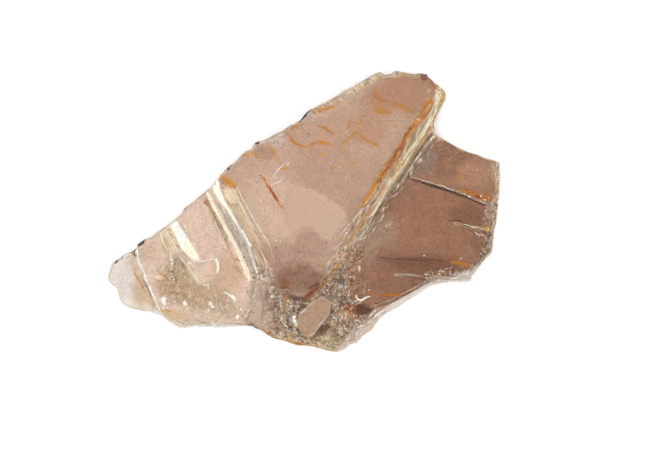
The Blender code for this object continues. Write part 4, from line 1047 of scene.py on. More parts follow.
def build_book():
    """The book as one closed mesh of stacked sheets, with its look as point attributes."""
    corners, triangles, sources = plan()
    lifts = relief(corners)
    names = list(REGIONS)
    heights = [0.0] + [top for top, _ in SHEETS]
    cache = {}

    def sheets_at(source):
        """Whether each sheet is at a triangle, from the faces of the plan that it lies in."""
        key = tuple(sorted(source))
        if key not in cache:
            where = {names[i - len(SHEETS)] for i in key if i >= len(SHEETS)}
            cache[key] = [k in key and in_region(region, where) for k, (_, region) in enumerate(SHEETS)]
        return cache[key]

    there = [sheets_at(source) for source in sources]
    used, vertices, faces, vertex_corner, vertex_level = {}, [], [], [], []

    def vertex(corner, level):
        """The index of the vertex over a corner of the plan at a level, made when it is first needed."""
        key = (corner, level)
        if key not in used:
            used[key] = len(vertices)
            bend = min(1.0, heights[level] / BEND_HEIGHT)
            x, y = corners[corner]
            vertices.append((x * MM, y * MM, (heights[level] + bend * lifts[corner]) * MM))
            vertex_corner.append(corner)
            vertex_level.append(level)
        return used[key]

    sides = {}
    for t, triangle in enumerate(triangles):
        if not any(there[t]):
            continue
        a, b, c = triangle
        for p, q in ((a, b), (b, c), (c, a)):
            sides.setdefault((min(p, q), max(p, q)), []).append((t, p, q))
        for level in range(len(heights)):
            below = level > 0 and there[t][level - 1]
            above = level < len(SHEETS) and there[t][level]
            if below and not above:
                faces.append([vertex(i, level) for i in (a, b, c)])
            if level > 0 and above and not below:
                faces.append([vertex(i, level) for i in (c, b, a)])
    base_edges = []
    for uses in sides.values():
        for layer in range(len(SHEETS)):
            full = [use for use in uses if there[use[0]][layer]]
            if len(full) == 1:
                _, p, q = full[0]
                faces.append([vertex(p, layer + 1), vertex(p, layer), vertex(q, layer), vertex(q, layer + 1)])
                if layer == 0:
                    base_edges.append((p, q))
    for a, b, c in base_triangles(corners, base_edges):
        faces.append([vertex(i, 0) for i in (c, b, a)])
    mesh = bpy.data.meshes.new("mica_book")
    mesh.from_pydata(vertices, [], faces)
    points = corners[vertex_corner]
    thickness = np.array([heights[level] for level in vertex_level])
    store_look(mesh, points, thickness)
    return finish_mesh(mesh)


def base_triangles(corners, edges):
    """The flat base as few triangles, from the edges around it."""
    ids = sorted({i for edge in edges for i in edge})
    place = {i: k for k, i in enumerate(ids)}
    points = [Vector(corners[i]) for i in ids]
    lines = [(place[a], place[b]) for a, b in edges]
    _, _, triangles, sources, _, _ = geometry.delaunay_2d_cdt(points, lines, [], 1, 1e-6)
    return [[ids[sources[i][0]] for i in triangle] for triangle in triangles]


def finish_mesh(mesh):
    """The same mesh, with no empty faces, and smooth where it isn't stepped."""
    book = bmesh.new()
    book.from_mesh(mesh)
    bmesh.ops.dissolve_degenerate(book, dist=1e-6, edges=book.edges)
    bmesh.ops.recalc_face_normals(book, faces=book.faces)
    book.to_mesh(mesh)
    book.free()
    mesh.shade_smooth()
    mesh.set_sharp_from_angle(angle=SHARP_ANGLE)
    return mesh


SHARP_ANGLE = math.radians(28)
FIELDS = {"FLOAT": "value", "FLOAT_COLOR": "color", "FLOAT_VECTOR": "vector"}


def store(mesh, name, kind, values):
    """Store a value of each point of a mesh as an attribute."""
    data = mesh.attributes.new(name, kind, "POINT").data
    data.foreach_set(FIELDS[kind], np.asarray(values, np.float32).ravel())


def store_look(mesh, points, thickness):
    """Store the painted look of a mesh's points as its attributes. The resting face is plain."""
    look = Paint(points, thickness)
    colours = np.column_stack([base_colour(look, thickness), np.ones(len(points))])
    base = thickness == 0
    colours[base], look.clear[base], look.rough[base] = 1.0, 1.0, SMOOTH
    for values in (look.crushed, look.marks, look.fibrous, look.mottled):
        values[base] = 0.0
    store(mesh, "tint", "FLOAT_COLOR", colours)
    store(mesh, "marks", "FLOAT_COLOR", look.marks)
    store(mesh, "way", "FLOAT_VECTOR", fibre_way(points))
    for name in ("clear", "rough", "crushed", "fibrous", "mottled"):
        store(mesh, name, "FLOAT", getattr(look, name))


# ---------------------------------------------------------------- materials


class Nodes:
    """A new material, with short ways to add nodes to it."""

    def __init__(self, name):
        """A material of the given name, with only its shader."""
        self.material = bpy.data.materials.new(name)
        self.material.use_nodes = True
        self.tree = self.material.node_tree

    def plug(self, value, socket):
        """Link a value to a socket, or set the socket to it if it is plain."""
        if isinstance(value, bpy.types.NodeSocket):
            self.tree.links.new(value, socket)
        else:
            socket.default_value = value

    def add(self, kind, **values):
        """A new node, with its inputs and settings given by name."""
        node = self.tree.nodes.new(kind)
        for key, value in values.items():
            if key in node.inputs:
                self.plug(value, node.inputs[key])
            else:
                setattr(node, key, value)
        return node

    def attribute(self, name, socket="Fac"):
        """An attribute of the mesh."""
        return self.add("ShaderNodeAttribute", attribute_name=name).outputs[socket]

    def position(self):
        """The place of each point of the surface, in metres."""
        return self.add("ShaderNodeNewGeometry").outputs["Position"]

    def maths(self, operation, *values):
        """A sum with one to three values."""
        node = self.add("ShaderNodeMath", operation=operation)
        for value, socket in zip(values, node.inputs):
            self.plug(value, socket)
        return node.outputs["Value"]

    def vector_maths(self, operation, *values):
        """A sum with two vectors."""
        node = self.add("ShaderNodeVectorMath", operation=operation)
        for value, socket in zip(values, node.inputs):
            self.plug(value, socket)
        return node.outputs["Vector"]

    def scaled(self, vector, scale):
        """A vector or colour times a number."""
        node = self.add("ShaderNodeVectorMath", operation="SCALE", Vector=vector, Scale=scale)
        return node.outputs["Vector"]

    def ramp(self, value, low, high, start=0.0, end=1.0, interpolation="SMOOTHSTEP"):
        """A value that runs from start to end while the given one runs from low to high."""
        node = self.add("ShaderNodeMapRange", interpolation_type=interpolation, Value=value)
        for name, number in (("From Min", low), ("From Max", high), ("To Min", start), ("To Max", end)):
            node.inputs[name].default_value = number
        return node.outputs["Result"]

    def noise(self, vector, scale, detail=2.0, roughness=0.5, socket="Fac"):
        """Fractal noise."""
        node = self.add("ShaderNodeTexNoise", Vector=vector, Scale=scale, Detail=detail, Roughness=roughness)
        return node.outputs[socket]

    def patches(self, vector, scale, low, high, most=1.0):
        """Patches of noise, from nothing below one level to the most above the other."""
        return self.ramp(self.noise(vector, scale, 3.0, 0.6), low, high, 0.0, most)

    def cells(self, vector, scale, feature="F1"):
        """A Voronoi pattern."""
        return self.add("ShaderNodeTexVoronoi", feature=feature, Vector=vector, Scale=scale)

    def blend(self, amount, a, b, blend_type="MIX"):
        """A mix of two colours."""
        node = self.add("ShaderNodeMix", data_type="RGBA", blend_type=blend_type)
        for value, socket in zip((amount, a, b), (node.inputs[0], node.inputs[6], node.inputs[7])):
            self.plug(value, socket)
        return node.outputs[2]

    def towards(self, amount, value, end):
        """A number moved towards another by an amount."""
        node = self.add("ShaderNodeMix", data_type="FLOAT")
        for part, socket in zip((amount, value, end), (node.inputs[0], node.inputs[2], node.inputs[3])):
            self.plug(part, socket)
        return node.outputs[0]

    def finish(self, **values):
        """The material, with the inputs of its shader given by name."""
        for key, value in values.items():
            self.plug(value, self.tree.nodes["Principled BSDF"].inputs[key.replace("_", " ")])
        return self.material


IOR, SPECULAR = 1.58, 0.25


def painted(colour, clear):
    """The base colour of a mark that looks like a colour, where the mark is so see-through."""
    bare = bare_colour(linear(colour), clear, UNDER_MARK * THROUGH * clear ** 2)
    return (*np.clip(bare, 0.002, 0.96), 1.0)


# Factors that darken or warm the colour of the mica: in its fibres and rust, and as painted shade in its gaps
# and creases.
GOLDEN, DEEP, GAP_SHADE = (1.0, 0.80, 0.42, 1.0), (0.50, 0.42, 0.36, 1.0), (0.34, 0.24, 0.18, 1.0)
CREASE_SHADE, OCHRE, RED_BROWN = (0.30, 0.22, 0.18, 1.0), (0.78, 0.48, 0.11, 1.0), (0.42, 0.15, 0.03, 1.0)
# A pearly white: the white of split sheets and a painted sheen.
SPLIT_WHITE_AND_SHEEN = (0.93, 0.93, 0.90, 1.0)
# The looks of its marks from above, and how see-through each kind of mark is.
SPECK, SPECK_CLEAR = (236, 218, 198), 0.3
WHITE_FIBRE, PALE_THREAD, GOLDEN_THREAD = (246, 236, 214), (252, 242, 224), (228, 184, 118)
THREAD_CLEAR = 0.25
OCHRE_CRUST, RED_CRUST, RUST_CLEAR = (206, 146, 62), (150, 70, 24), 0.5
CREAM_STREAK, STREAK_CLEAR = (246, 234, 206), 0.12
# The sides' colours are pale as painted light, which lifts the shade of the steep walls.
DARK_SIDE, PALE_SIDE, SIDE_CLEAR = (226, 200, 174), (254, 250, 240), 0.4
BUMP_STRENGTH, BUMP_HEIGHT = 0.45, 0.1 * MM
DENSITY_MARGIN = 1.15  # the absorption's density beside its strongest channel


class Mica(Nodes):
    """See-through mica: the painted look, with fibrous streaks, blotches of rust and a mesh of splinters."""

    def __init__(self):
        """The painted look of the mesh, and the places and noise that the layers share."""
        super().__init__("mica")
        self.place = self.vector_maths("MULTIPLY", self.position(), (1 / MM, 1 / MM, 1 / MM))
        wander = self.scaled(self.noise(self.place, 0.9, 3.0, 0.6, "Color"), 1.4)
        self.bent = self.vector_maths("ADD", self.place, wander)
        marks = self.add("ShaderNodeAttribute", attribute_name="marks")
        channels = self.add("ShaderNodeSeparateColor", Color=marks.outputs["Color"]).outputs
        # The blue channel, dark, carries the painted shade of creases, gaps and the crack.
        self.bright, self.rusty, self.dark = channels["Red"], channels["Green"], channels["Blue"]
        self.rust_depth = marks.outputs["Alpha"]
        self.way, self.fibres = self.attribute("way", "Vector"), self.attribute("fibrous")
        self.crushed = self.attribute("crushed")
        self.colour, self.clear = self.attribute("tint", "Color"), self.attribute("clear")
        self.streaks = self.noise(self.way, 4.0, 3.0, 0.6)
        self.near_mark = self.maths("MAXIMUM", self.ramp(self.bright, 0.02, 0.35), self.fibres)

    def off_middle(self, value):
        """Noise less its middle."""
        return self.maths("SUBTRACT", value, 0.5)

    def tint(self, amount, factor):
        """Multiply the colour by a factor, where and as far as the amount says."""
        self.colour = self.blend(amount, self.colour, self.blend(1.0, self.colour, factor, "MULTIPLY"))

    def cover(self, amount, colour, clear):
        """Cover the look with a colour that is so see-through, where and as far as the amount says."""
        self.colour = self.blend(amount, self.colour, colour)
        self.clear = self.towards(amount, self.clear, clear)

    def cloud(self):
        """Cloudy unevenness with darker veins, a fine grain, and pale specks."""
        mottled = self.attribute("mottled")
        clouds = self.ramp(self.noise(self.place, 0.6, 8.0, 0.74), 0.3, 0.7, -0.24, 0.20)
        veins = self.maths("ABSOLUTE", self.off_middle(self.noise(self.place, 0.32, 6.0, 0.62)))
        uneven = self.maths("ADD", clouds, self.ramp(veins, 0.0, 0.05, -0.17, 0.03))
        grain = self.ramp(self.noise(self.place, 3.2, 4.0, 0.7), 0.3, 0.7, -0.27, 0.28)
        level = self.maths("MULTIPLY_ADD", uneven, mottled,
                           self.maths("MULTIPLY_ADD", grain, self.ramp(mottled, 0.0, 0.4), 1.0))
        self.colour = self.blend(1.0, self.colour, level, "MULTIPLY")
        speck = self.ramp(self.cells(self.place, 0.6).outputs["Distance"], 0.06, 0.13, 1.0, 0.0)
        where = self.ramp(self.noise(self.place, 0.25), 0.48, 0.66, 0.0, 0.6)
        self.cover(self.maths("MULTIPLY", speck, where), painted(SPECK, SPECK_CLEAR), SPECK_CLEAR)

    def draw_fibres(self):
        """The fibres of the kinks: lighter, darker, golden and white ones."""
        self.tint(self.near_mark, self.maths("MULTIPLY_ADD", self.off_middle(self.streaks), 2.4, 1.0))
        self.tint(self.maths("MULTIPLY", self.patches(self.way, 1.7, 0.52, 0.64, 0.6), self.fibres), GOLDEN)
        self.tint(self.maths("MULTIPLY", self.patches(self.way, 3.1, 0.56, 0.66, 0.7), self.fibres), DEEP)
        white = self.ramp(self.noise(self.way, 2.6), 0.56, 0.66, 0.0, 0.7)
        amount = self.maths("MULTIPLY", white, self.fibres)
        self.cover(amount, painted(WHITE_FIBRE, THREAD_CLEAR), THREAD_CLEAR)

    def rims(self, scale, width, most):
        """The rims of crushed cells, which fade over a width."""
        away = self.cells(self.bent, scale, "DISTANCE_TO_EDGE").outputs["Distance"]
        return self.ramp(away, 0.05, width, most, 0.0)

    def crush(self):
        """The crushed zones: cells at their own brightness, painted shade in the gaps between them, and
        bright threads.
        """
        own = self.add("ShaderNodeSeparateColor", Color=self.cells(self.bent, 1.25).outputs["Color"])
        self.tint(self.crushed, self.ramp(own.outputs["Red"], 0.0, 1.0, 0.78, 1.22))
        coarse = self.patches(self.place, 0.9, 0.42, 0.58)
        large = self.maths("MULTIPLY", self.rims(0.9, 0.15, 1.0), coarse)
        small = self.maths("MULTIPLY", self.rims(1.7, 0.17, 0.9), self.maths("SUBTRACT", 1.0, coarse))
        strength = self.ramp(self.noise(self.place, 1.5, 3.0, 0.6), 0.40, 0.58, 0.1, 1.0)
        rims = self.maths("MULTIPLY", self.maths("MAXIMUM", large, small), strength)
        self.thread = self.maths("MULTIPLY", rims, self.ramp(self.crushed, 0.1, 0.9))
        gap_shade = self.maths("MULTIPLY", self.ramp(self.noise(self.bent, 1.0, 4.0, 0.65), 0.46, 0.56),
                         self.ramp(self.crushed, 0.15, 0.9, 0.0, 0.95))
        self.tint(gap_shade, GAP_SHADE)
        pale = self.blend(self.patches(self.place, 0.7, 0.46, 0.60), painted(PALE_THREAD, THREAD_CLEAR),
                          painted(GOLDEN_THREAD, THREAD_CLEAR))
        self.cover(self.maths("MULTIPLY", self.thread, 0.85), pale, THREAD_CLEAR)

    def shade_and_rust(self):
        """Painted shade along the dark lines of creases, gaps and the crack, broken up by noise, then rust,
        from ochre to red-brown.
        """
        blots = self.noise(self.place, 1.7, 6.0, 0.68)
        mixed = self.maths("MULTIPLY_ADD", self.streaks, 0.6, self.maths("MULTIPLY", blots, 0.4))
        crease_shade = self.ramp(self.maths("MULTIPLY_ADD", self.off_middle(mixed), 1.5, self.dark), 0.25, 0.85)
        self.tint(self.maths("MULTIPLY", crease_shade, 0.9), CREASE_SHADE)
        ragged_edge = self.maths("MULTIPLY_ADD", self.off_middle(blots), 3.6, self.rusty)
        rust = self.maths("MULTIPLY", self.ramp(ragged_edge, 0.16, 0.56), self.ramp(self.rusty, 0.02, 0.2))
        wander = self.off_middle(self.noise(self.place, 2.1, 3.0, 0.6))
        depth = self.ramp(self.maths("MULTIPLY_ADD", wander, 1.6, self.rust_depth), 0.0, 1.0)
        stain = self.blend(1.0, self.colour, self.blend(depth, OCHRE, RED_BROWN), "MULTIPLY")
        solid = self.blend(depth, painted(OCHRE_CRUST, RUST_CLEAR), painted(RED_CRUST, RUST_CLEAR))
        self.cover(rust, self.blend(0.5, stain, solid), RUST_CLEAR)

    def streak(self):
        """Fibrous bright streaks and threads: the white of split sheets, which on the kinks' tilted faces is
        also a painted sheen.
        """
        level = self.maths("MULTIPLY_ADD", self.off_middle(self.streaks), 1.7, self.bright)
        self.streaked = self.ramp(level, 0.30, 0.80)
        share = self.ramp(self.noise(self.way, 2.2), 0.35, 0.65)
        pearl = self.blend(share, SPLIT_WHITE_AND_SHEEN, painted(CREAM_STREAK, STREAK_CLEAR))
        self.cover(self.streaked, pearl, STREAK_CLEAR)

    def draw_sides(self):
        """The edges of the sheets, as fine lines around the sides, painted pale: painted light that lifts the
        shade of the steep sides.
        """
        normal = self.add("ShaderNodeNewGeometry").outputs["True Normal"]
        facing = self.maths("ABSOLUTE", self.add("ShaderNodeSeparateXYZ", Vector=normal).outputs["Z"])
        side = self.ramp(facing, 0.35, 0.75, 1.0, 0.0)
        lines = self.patches(self.vector_maths("MULTIPLY", self.place, (0.25, 0.25, 9.0)), 1.0, 0.40, 0.60)
        edge = self.blend(lines, painted(DARK_SIDE, SIDE_CLEAR), painted(PALE_SIDE, SIDE_CLEAR))
        self.colour = self.blend(self.maths("MULTIPLY", side, 0.75), self.colour, edge)
        self.clear = self.towards(self.maths("MULTIPLY", side, 0.8), self.clear, 0.45)

    def relief(self):
        """The fine relief of the fibres and of the crushed zones."""
        fibres = self.maths("MULTIPLY_ADD", self.near_mark, 0.9, 0.1)
        lumps = self.maths("MULTIPLY", self.noise(self.bent, 2.4, 5.0, 0.65),
                           self.maths("MULTIPLY_ADD", self.crushed, 1.3, 0.12))
        height = self.maths("MULTIPLY_ADD", self.off_middle(self.streaks), fibres, lumps)
        bump = self.add("ShaderNodeBump", Strength=BUMP_STRENGTH, Distance=BUMP_HEIGHT, Height=height)
        return bump.outputs["Normal"]

    def absorb(self):
        """The tint of the body, which deepens with its thickness."""
        density = DENSITY_MARGIN * ABSORPTION.max()
        colour = (*(1 - ABSORPTION / density), 1.0)
        volume = self.add("ShaderNodeVolumeAbsorption", Color=colour, Density=density)
        self.plug(volume.outputs["Volume"], self.tree.nodes["Material Output"].inputs["Volume"])


def mica_material():
    """The mica of the book, layer by layer."""
    mica = Mica()
    mica.cloud()
    mica.draw_fibres()
    mica.crush()
    mica.shade_and_rust()
    mica.streak()
    mica.draw_sides()
    mica.absorb()
    drawn = mica.maths("MAXIMUM", mica.thread, mica.streaked)
    rough = mica.maths("MULTIPLY_ADD", drawn, 0.2, mica.attribute("rough"))
    return mica.finish(Base_Color=mica.colour, Transmission_Weight=mica.clear, Roughness=rough, IOR=IOR,
                       Specular_IOR_Level=SPECULAR, Normal=mica.relief())


def new_object(name, data, location=(0, 0, 0)):
    """A new object of the scene, from its mesh, light or camera."""
    made = bpy.data.objects.new(name, data)
    made.location = location
    bpy.context.scene.collection.objects.link(made)
    return made


def show(name, mesh, material):
    """A piece of the book from a mesh, riding on the frame."""
    made = new_object(name, mesh)
    mesh.materials.append(material)
    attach(made, BODY)
    return made


# ---------------------------------------------------------------- splinters, flakes and the grain


class Ground:
    """The top of the book, to lay splinters and flakes on."""

    def __init__(self, mesh):
        """From the mesh of the book."""
        self.tree = BVHTree.FromPolygons([v.co for v in mesh.vertices], [f.vertices for f in mesh.polygons])
        self.edge = flat_tree(resample(OUTLINE, EDGE_STEP / 4, closed=True))

    def near_edge(self, points, margin):
        """Whether any of the points is within a margin of the book's edge."""
        return any(self.edge.find((x, y, 0))[2] < margin for x, y in points)

    def height(self, x, y):
        """The height of the top at a place, in millimetres, or None beside the book."""
        hit = self.tree.ray_cast(Vector((x * MM, y * MM, ABOVE)), Vector((0, 0, -1)))[0]
        return None if hit is None else hit.z / MM


ABOVE = 10 * MM  # higher than any point of the book
SHADES = 0.90, 1.08


def pick(palette):
    """A colour of a palette of colours and weights, a little lighter or darker.

    A number stands for the colour of the book at the place, so many times as bright.
    """
    colour = rng.choices([c for c, _ in palette], [w for _, w in palette])[0]
    shade = rng.uniform(*SHADES)
    if isinstance(colour, float):
        return (colour * shade,)
    return tuple(min(255, channel * shade) for channel in colour)


def scattered(zone, tries):
    """Random places in a zone, out of so many tries in the box around it."""
    places = np.random.default_rng(rng.randrange(10 ** 6)).uniform(*box(zone), (tries, 2))
    return places[inside(zone, places)]


def bundle_paths(spine, count, lengths, wander, widths, palette):
    """Splinters along a spine of points with the spread of the bundle there."""
    line = as_array(spine)
    spreads = [spread for _, _, spread in spine]
    run = run_along(line)
    for _ in range(count):
        length = min(rng.uniform(*lengths), run[-1])
        start = rng.uniform(0, run[-1] - length)
        aside, drift, curl = rng.uniform(-1, 1), rng.gauss(0, wander), rng.gauss(0, wander * 0.5)
        points, parts = [], max(4, min(9, int(length / 0.9) + 3))
        for k in range(parts):
            t = k / (parts - 1)
            at = start + length * t
            x, y = (float(np.interp(at, run, line[:, i])) for i in (0, 1))
            before, after = ([float(np.interp(at + d, run, line[:, i])) for i in (0, 1)] for d in (-0.5, 0.5))
            ahead = [a - b for a, b in zip(after, before)]
            size = math.hypot(*ahead) or 1
            off = aside * float(np.interp(at, run, spreads))
            off += length * (drift * (t - 0.5) + curl * (t * t - t))
            points.append((x - ahead[1] / size * off, y + ahead[0] / size * off))
        yield points, rng.uniform(*widths), pick(palette)


def swirl_paths(zone, count, lengths, heading, spread, widths, palette):
    """Splinters scattered in a zone, which turn with a smooth swirl about a heading in degrees."""
    starts = scattered(zone, count * 3)[:count]
    turns = math.radians(heading) + spread * smooth_noise(starts, 2.6, heading) * 2.2
    for (x, y), turn in zip(starts, turns):
        length = rng.uniform(*lengths) * rng.uniform(0.4, 1)
        turn += rng.gauss(0, spread * 0.35)
        curl = rng.gauss(0, 0.25 + spread * 0.3)
        parts = max(3, min(7, int(length / 0.35) + 2))
        points = [(x, y)]
        for _ in range(parts):
            x, y = x + math.cos(turn) * length / parts, y + math.sin(turn) * length / parts
            turn += curl * length / parts
            points.append((x, y))
        yield points, rng.uniform(*widths), pick(palette)


def edge_paths(span, count, lengths, inset, widths, palette):
    """Splinters along the book's own edge, within a box and at an inset from the edge."""
    (x0, y0), (x1, y1) = span
    x, y = OUTLINE.T
    near = np.nonzero((x > x0) & (x < x1) & (y > y0) & (y < y1))[0]
    normals = inward_normals(OUTLINE, 3)
    for _ in range(count):
        steps = max(4, int(rng.uniform(*lengths) / EDGE_STEP))
        first, deep, slope = int(rng.choice(near)), rng.uniform(*inset), rng.gauss(0, 0.25)
        points = []
        for k in range(0, steps, 2):
            i = (first + k) % len(OUTLINE)
            x, y = OUTLINE[i] + normals[i] * max(0.12, deep + slope * (k / steps - 0.5))
            points.append((float(x), float(y)))
        if len(points) > 1:
            yield points, rng.uniform(*widths), pick(palette)


class Bits:
    """Many small closed solids in one mesh, each with its own colour."""

    def __init__(self, ground):
        """None yet, to lie on the given ground."""
        self.ground = ground
        self.vertices, self.faces, self.colours = [], [], []

    def splinter(self, path, width, colour, heights=None):
        """A thin ridge that lies on the book, or at the given heights, pointed at both ends."""
        heights = heights or [self.ground.height(x, y) for x, y in path]
        if None in heights or self.ground.near_edge(path, SPLINTER_MARGIN):
            return
        first = len(self.vertices)
        last = len(path) - 1
        for k, ((x, y), z) in enumerate(zip(path, heights)):
            (ax, ay), (bx, by) = path[max(k - 1, 0)], path[min(k + 1, last)]
            size = math.hypot(bx - ax, by - ay) or 1
            half = width * (TIP_WIDTH + SWELL * max(0.0, math.sin(math.pi * k / last)) ** 0.6)
            over, up = -(by - ay) / size * half, (bx - ax) / size * half
            self.vertices += [(x + over, y + up, z - SUNK), (x, y, z + half * SPLINTER_RISE),
                              (x - over, y - up, z - SUNK)]
            self.colours += [colour] * 3
        for k in range(last):
            a, b = first + 3 * k, first + 3 * k + 3
            self.faces += [(a, a + 1, b + 1, b), (a + 1, a + 2, b + 2, b + 1), (a + 2, a, b, b + 2)]
        end = first + 3 * last
        self.faces += [(first + 2, first + 1, first), (end, end + 1, end + 2)]

    def flake(self, x, y, radius, stretch, heading, tilt, colour, rim, thick=0.1, lift=0.0, corners=None):
        """A thin plate that lies on the book at a slant, with a paler rim."""
        z = self.ground.height(x, y)
        if z is None:
            return
        if corners is None:
            count = rng.randint(4, 7)
            corners = []
            for k in range(count):
                turn = math.tau * (k + rng.uniform(-0.3, 0.3)) / count
                reach = radius * rng.uniform(0.65, 1.15)
                u, v = math.cos(turn) * reach * stretch, math.sin(turn) * reach
                corners.append((x + u * math.cos(heading) - v * math.sin(heading),
                                y + u * math.sin(heading) + v * math.cos(heading)))
        if None in [self.ground.height(*corner) for corner in corners]:
            return
        if self.ground.near_edge(corners, FLAKE_MARGIN):
            return
        slope_x, slope_y = tilt
        first, count = len(self.vertices), len(corners)
        middle = (sum(c[0] for c in corners) / count, sum(c[1] for c in corners) / count)
        size = sum(math.dist(c, middle) for c in corners) / count
        top = 1 - min(0.3, FLAKE_EDGE / size)
        for inner, drop, shade in ((top, 0.0, colour), (1.0, 0.02, rim), (1.0, thick, rim)):
            for cx, cy in corners:
                px, py = middle[0] + (cx - middle[0]) * inner, middle[1] + (cy - middle[1]) * inner
                pz = z + lift + thick * 0.7 + slope_x * (px - middle[0]) + slope_y * (py - middle[1]) - drop
                self.vertices.append((px, py, min(max(pz, 0.02), TOP_LIMIT)))
                self.colours.append(shade)
        rings = [list(range(first + k * count, first + (k + 1) * count)) for k in range(3)]
        self.faces += [tuple(rings[0]), tuple(reversed(rings[2]))]
        for outer, inner in ((rings[1], rings[0]), (rings[2], rings[1])):
            for k in range(count):
                m = (k + 1) % count
                self.faces.append((outer[k], outer[m], inner[m], inner[k]))

    def mesh(self, name, clear):
        """The finished mesh, with the colour of each point as it looks from above."""
        made = bpy.data.meshes.new(name)
        made.from_pydata([(x * MM, y * MM, z * MM) for x, y, z in self.vertices], [], self.faces)
        look = np.zeros((len(self.colours), 3))
        local = np.array([len(c) == 1 for c in self.colours])
        if local.any():
            places = np.array(self.vertices)[local]
            factors = np.array([c[0] for c in self.colours if len(c) == 1])
            look[local] = Paint(places[:, :2], places[:, 2]).colour * factors[:, None]
        if not local.all():
            look[~local] = linear([c for c in self.colours if len(c) == 3])
        bare = bare_colour(look, clear, UNDER_BIT * THROUGH * clear ** 2)
        store(made, "tint", "FLOAT_COLOR", np.column_stack([np.clip(bare, 0.003, 0.96), np.ones(len(bare))]))
        outward = bmesh.new()
        outward.from_mesh(made)
        bmesh.ops.recalc_face_normals(outward, faces=outward.faces)
        outward.to_mesh(made)
        outward.free()
        return made


SUNK = 0.02           # how deep a splinter's edges lie in the book
SPLINTER_RISE = 0.4   # its height beside its half width
TIP_WIDTH, SWELL = 0.12, 0.66  # its half width at the ends, and how much it gains to the middle
SPLINTER_MARGIN, FLAKE_MARGIN = 0.1, 0.12  # none comes nearer to the book's edge
TOP_LIMIT = 5.8       # no flake stands higher than the frame's solid

PALE = [((255, 252, 242), 5), ((250, 235, 200), 4), ((236, 214, 176), 2), ((204, 186, 160), 1)]
MIXED = [
    ((255, 252, 242), 4), ((250, 233, 196), 5), ((232, 198, 138), 4), (1.3, 2), (0.5, 3), (0.35, 3),
    ((214, 160, 84), 2),
]
GREYS = [((210, 196, 182), 3), ((172, 152, 136), 3), ((132, 110, 96), 2), ((236, 226, 210), 2), (1.1, 2)]
BROWNS = [
    ((196, 176, 150), 3), ((150, 124, 98), 2), ((106, 82, 64), 3), ((226, 208, 172), 3), ((200, 164, 92), 2),
]
CREAMS = [
    ((255, 250, 232), 4), ((244, 226, 176), 3), ((206, 172, 96), 3), ((122, 98, 78), 2), ((214, 150, 70), 1),
]
TANS = [((204, 176, 134), 3), ((222, 198, 160), 3), ((178, 148, 110), 2), ((236, 220, 190), 1)]
RUSTY = [((208, 136, 36), 5), ((184, 96, 22), 4), ((146, 54, 12), 3), ((204, 164, 84), 2), ((84, 44, 22), 2)]
FAINT = [(1.14, 3), (1.24, 2), (1.4, 1), (0.86, 1)]

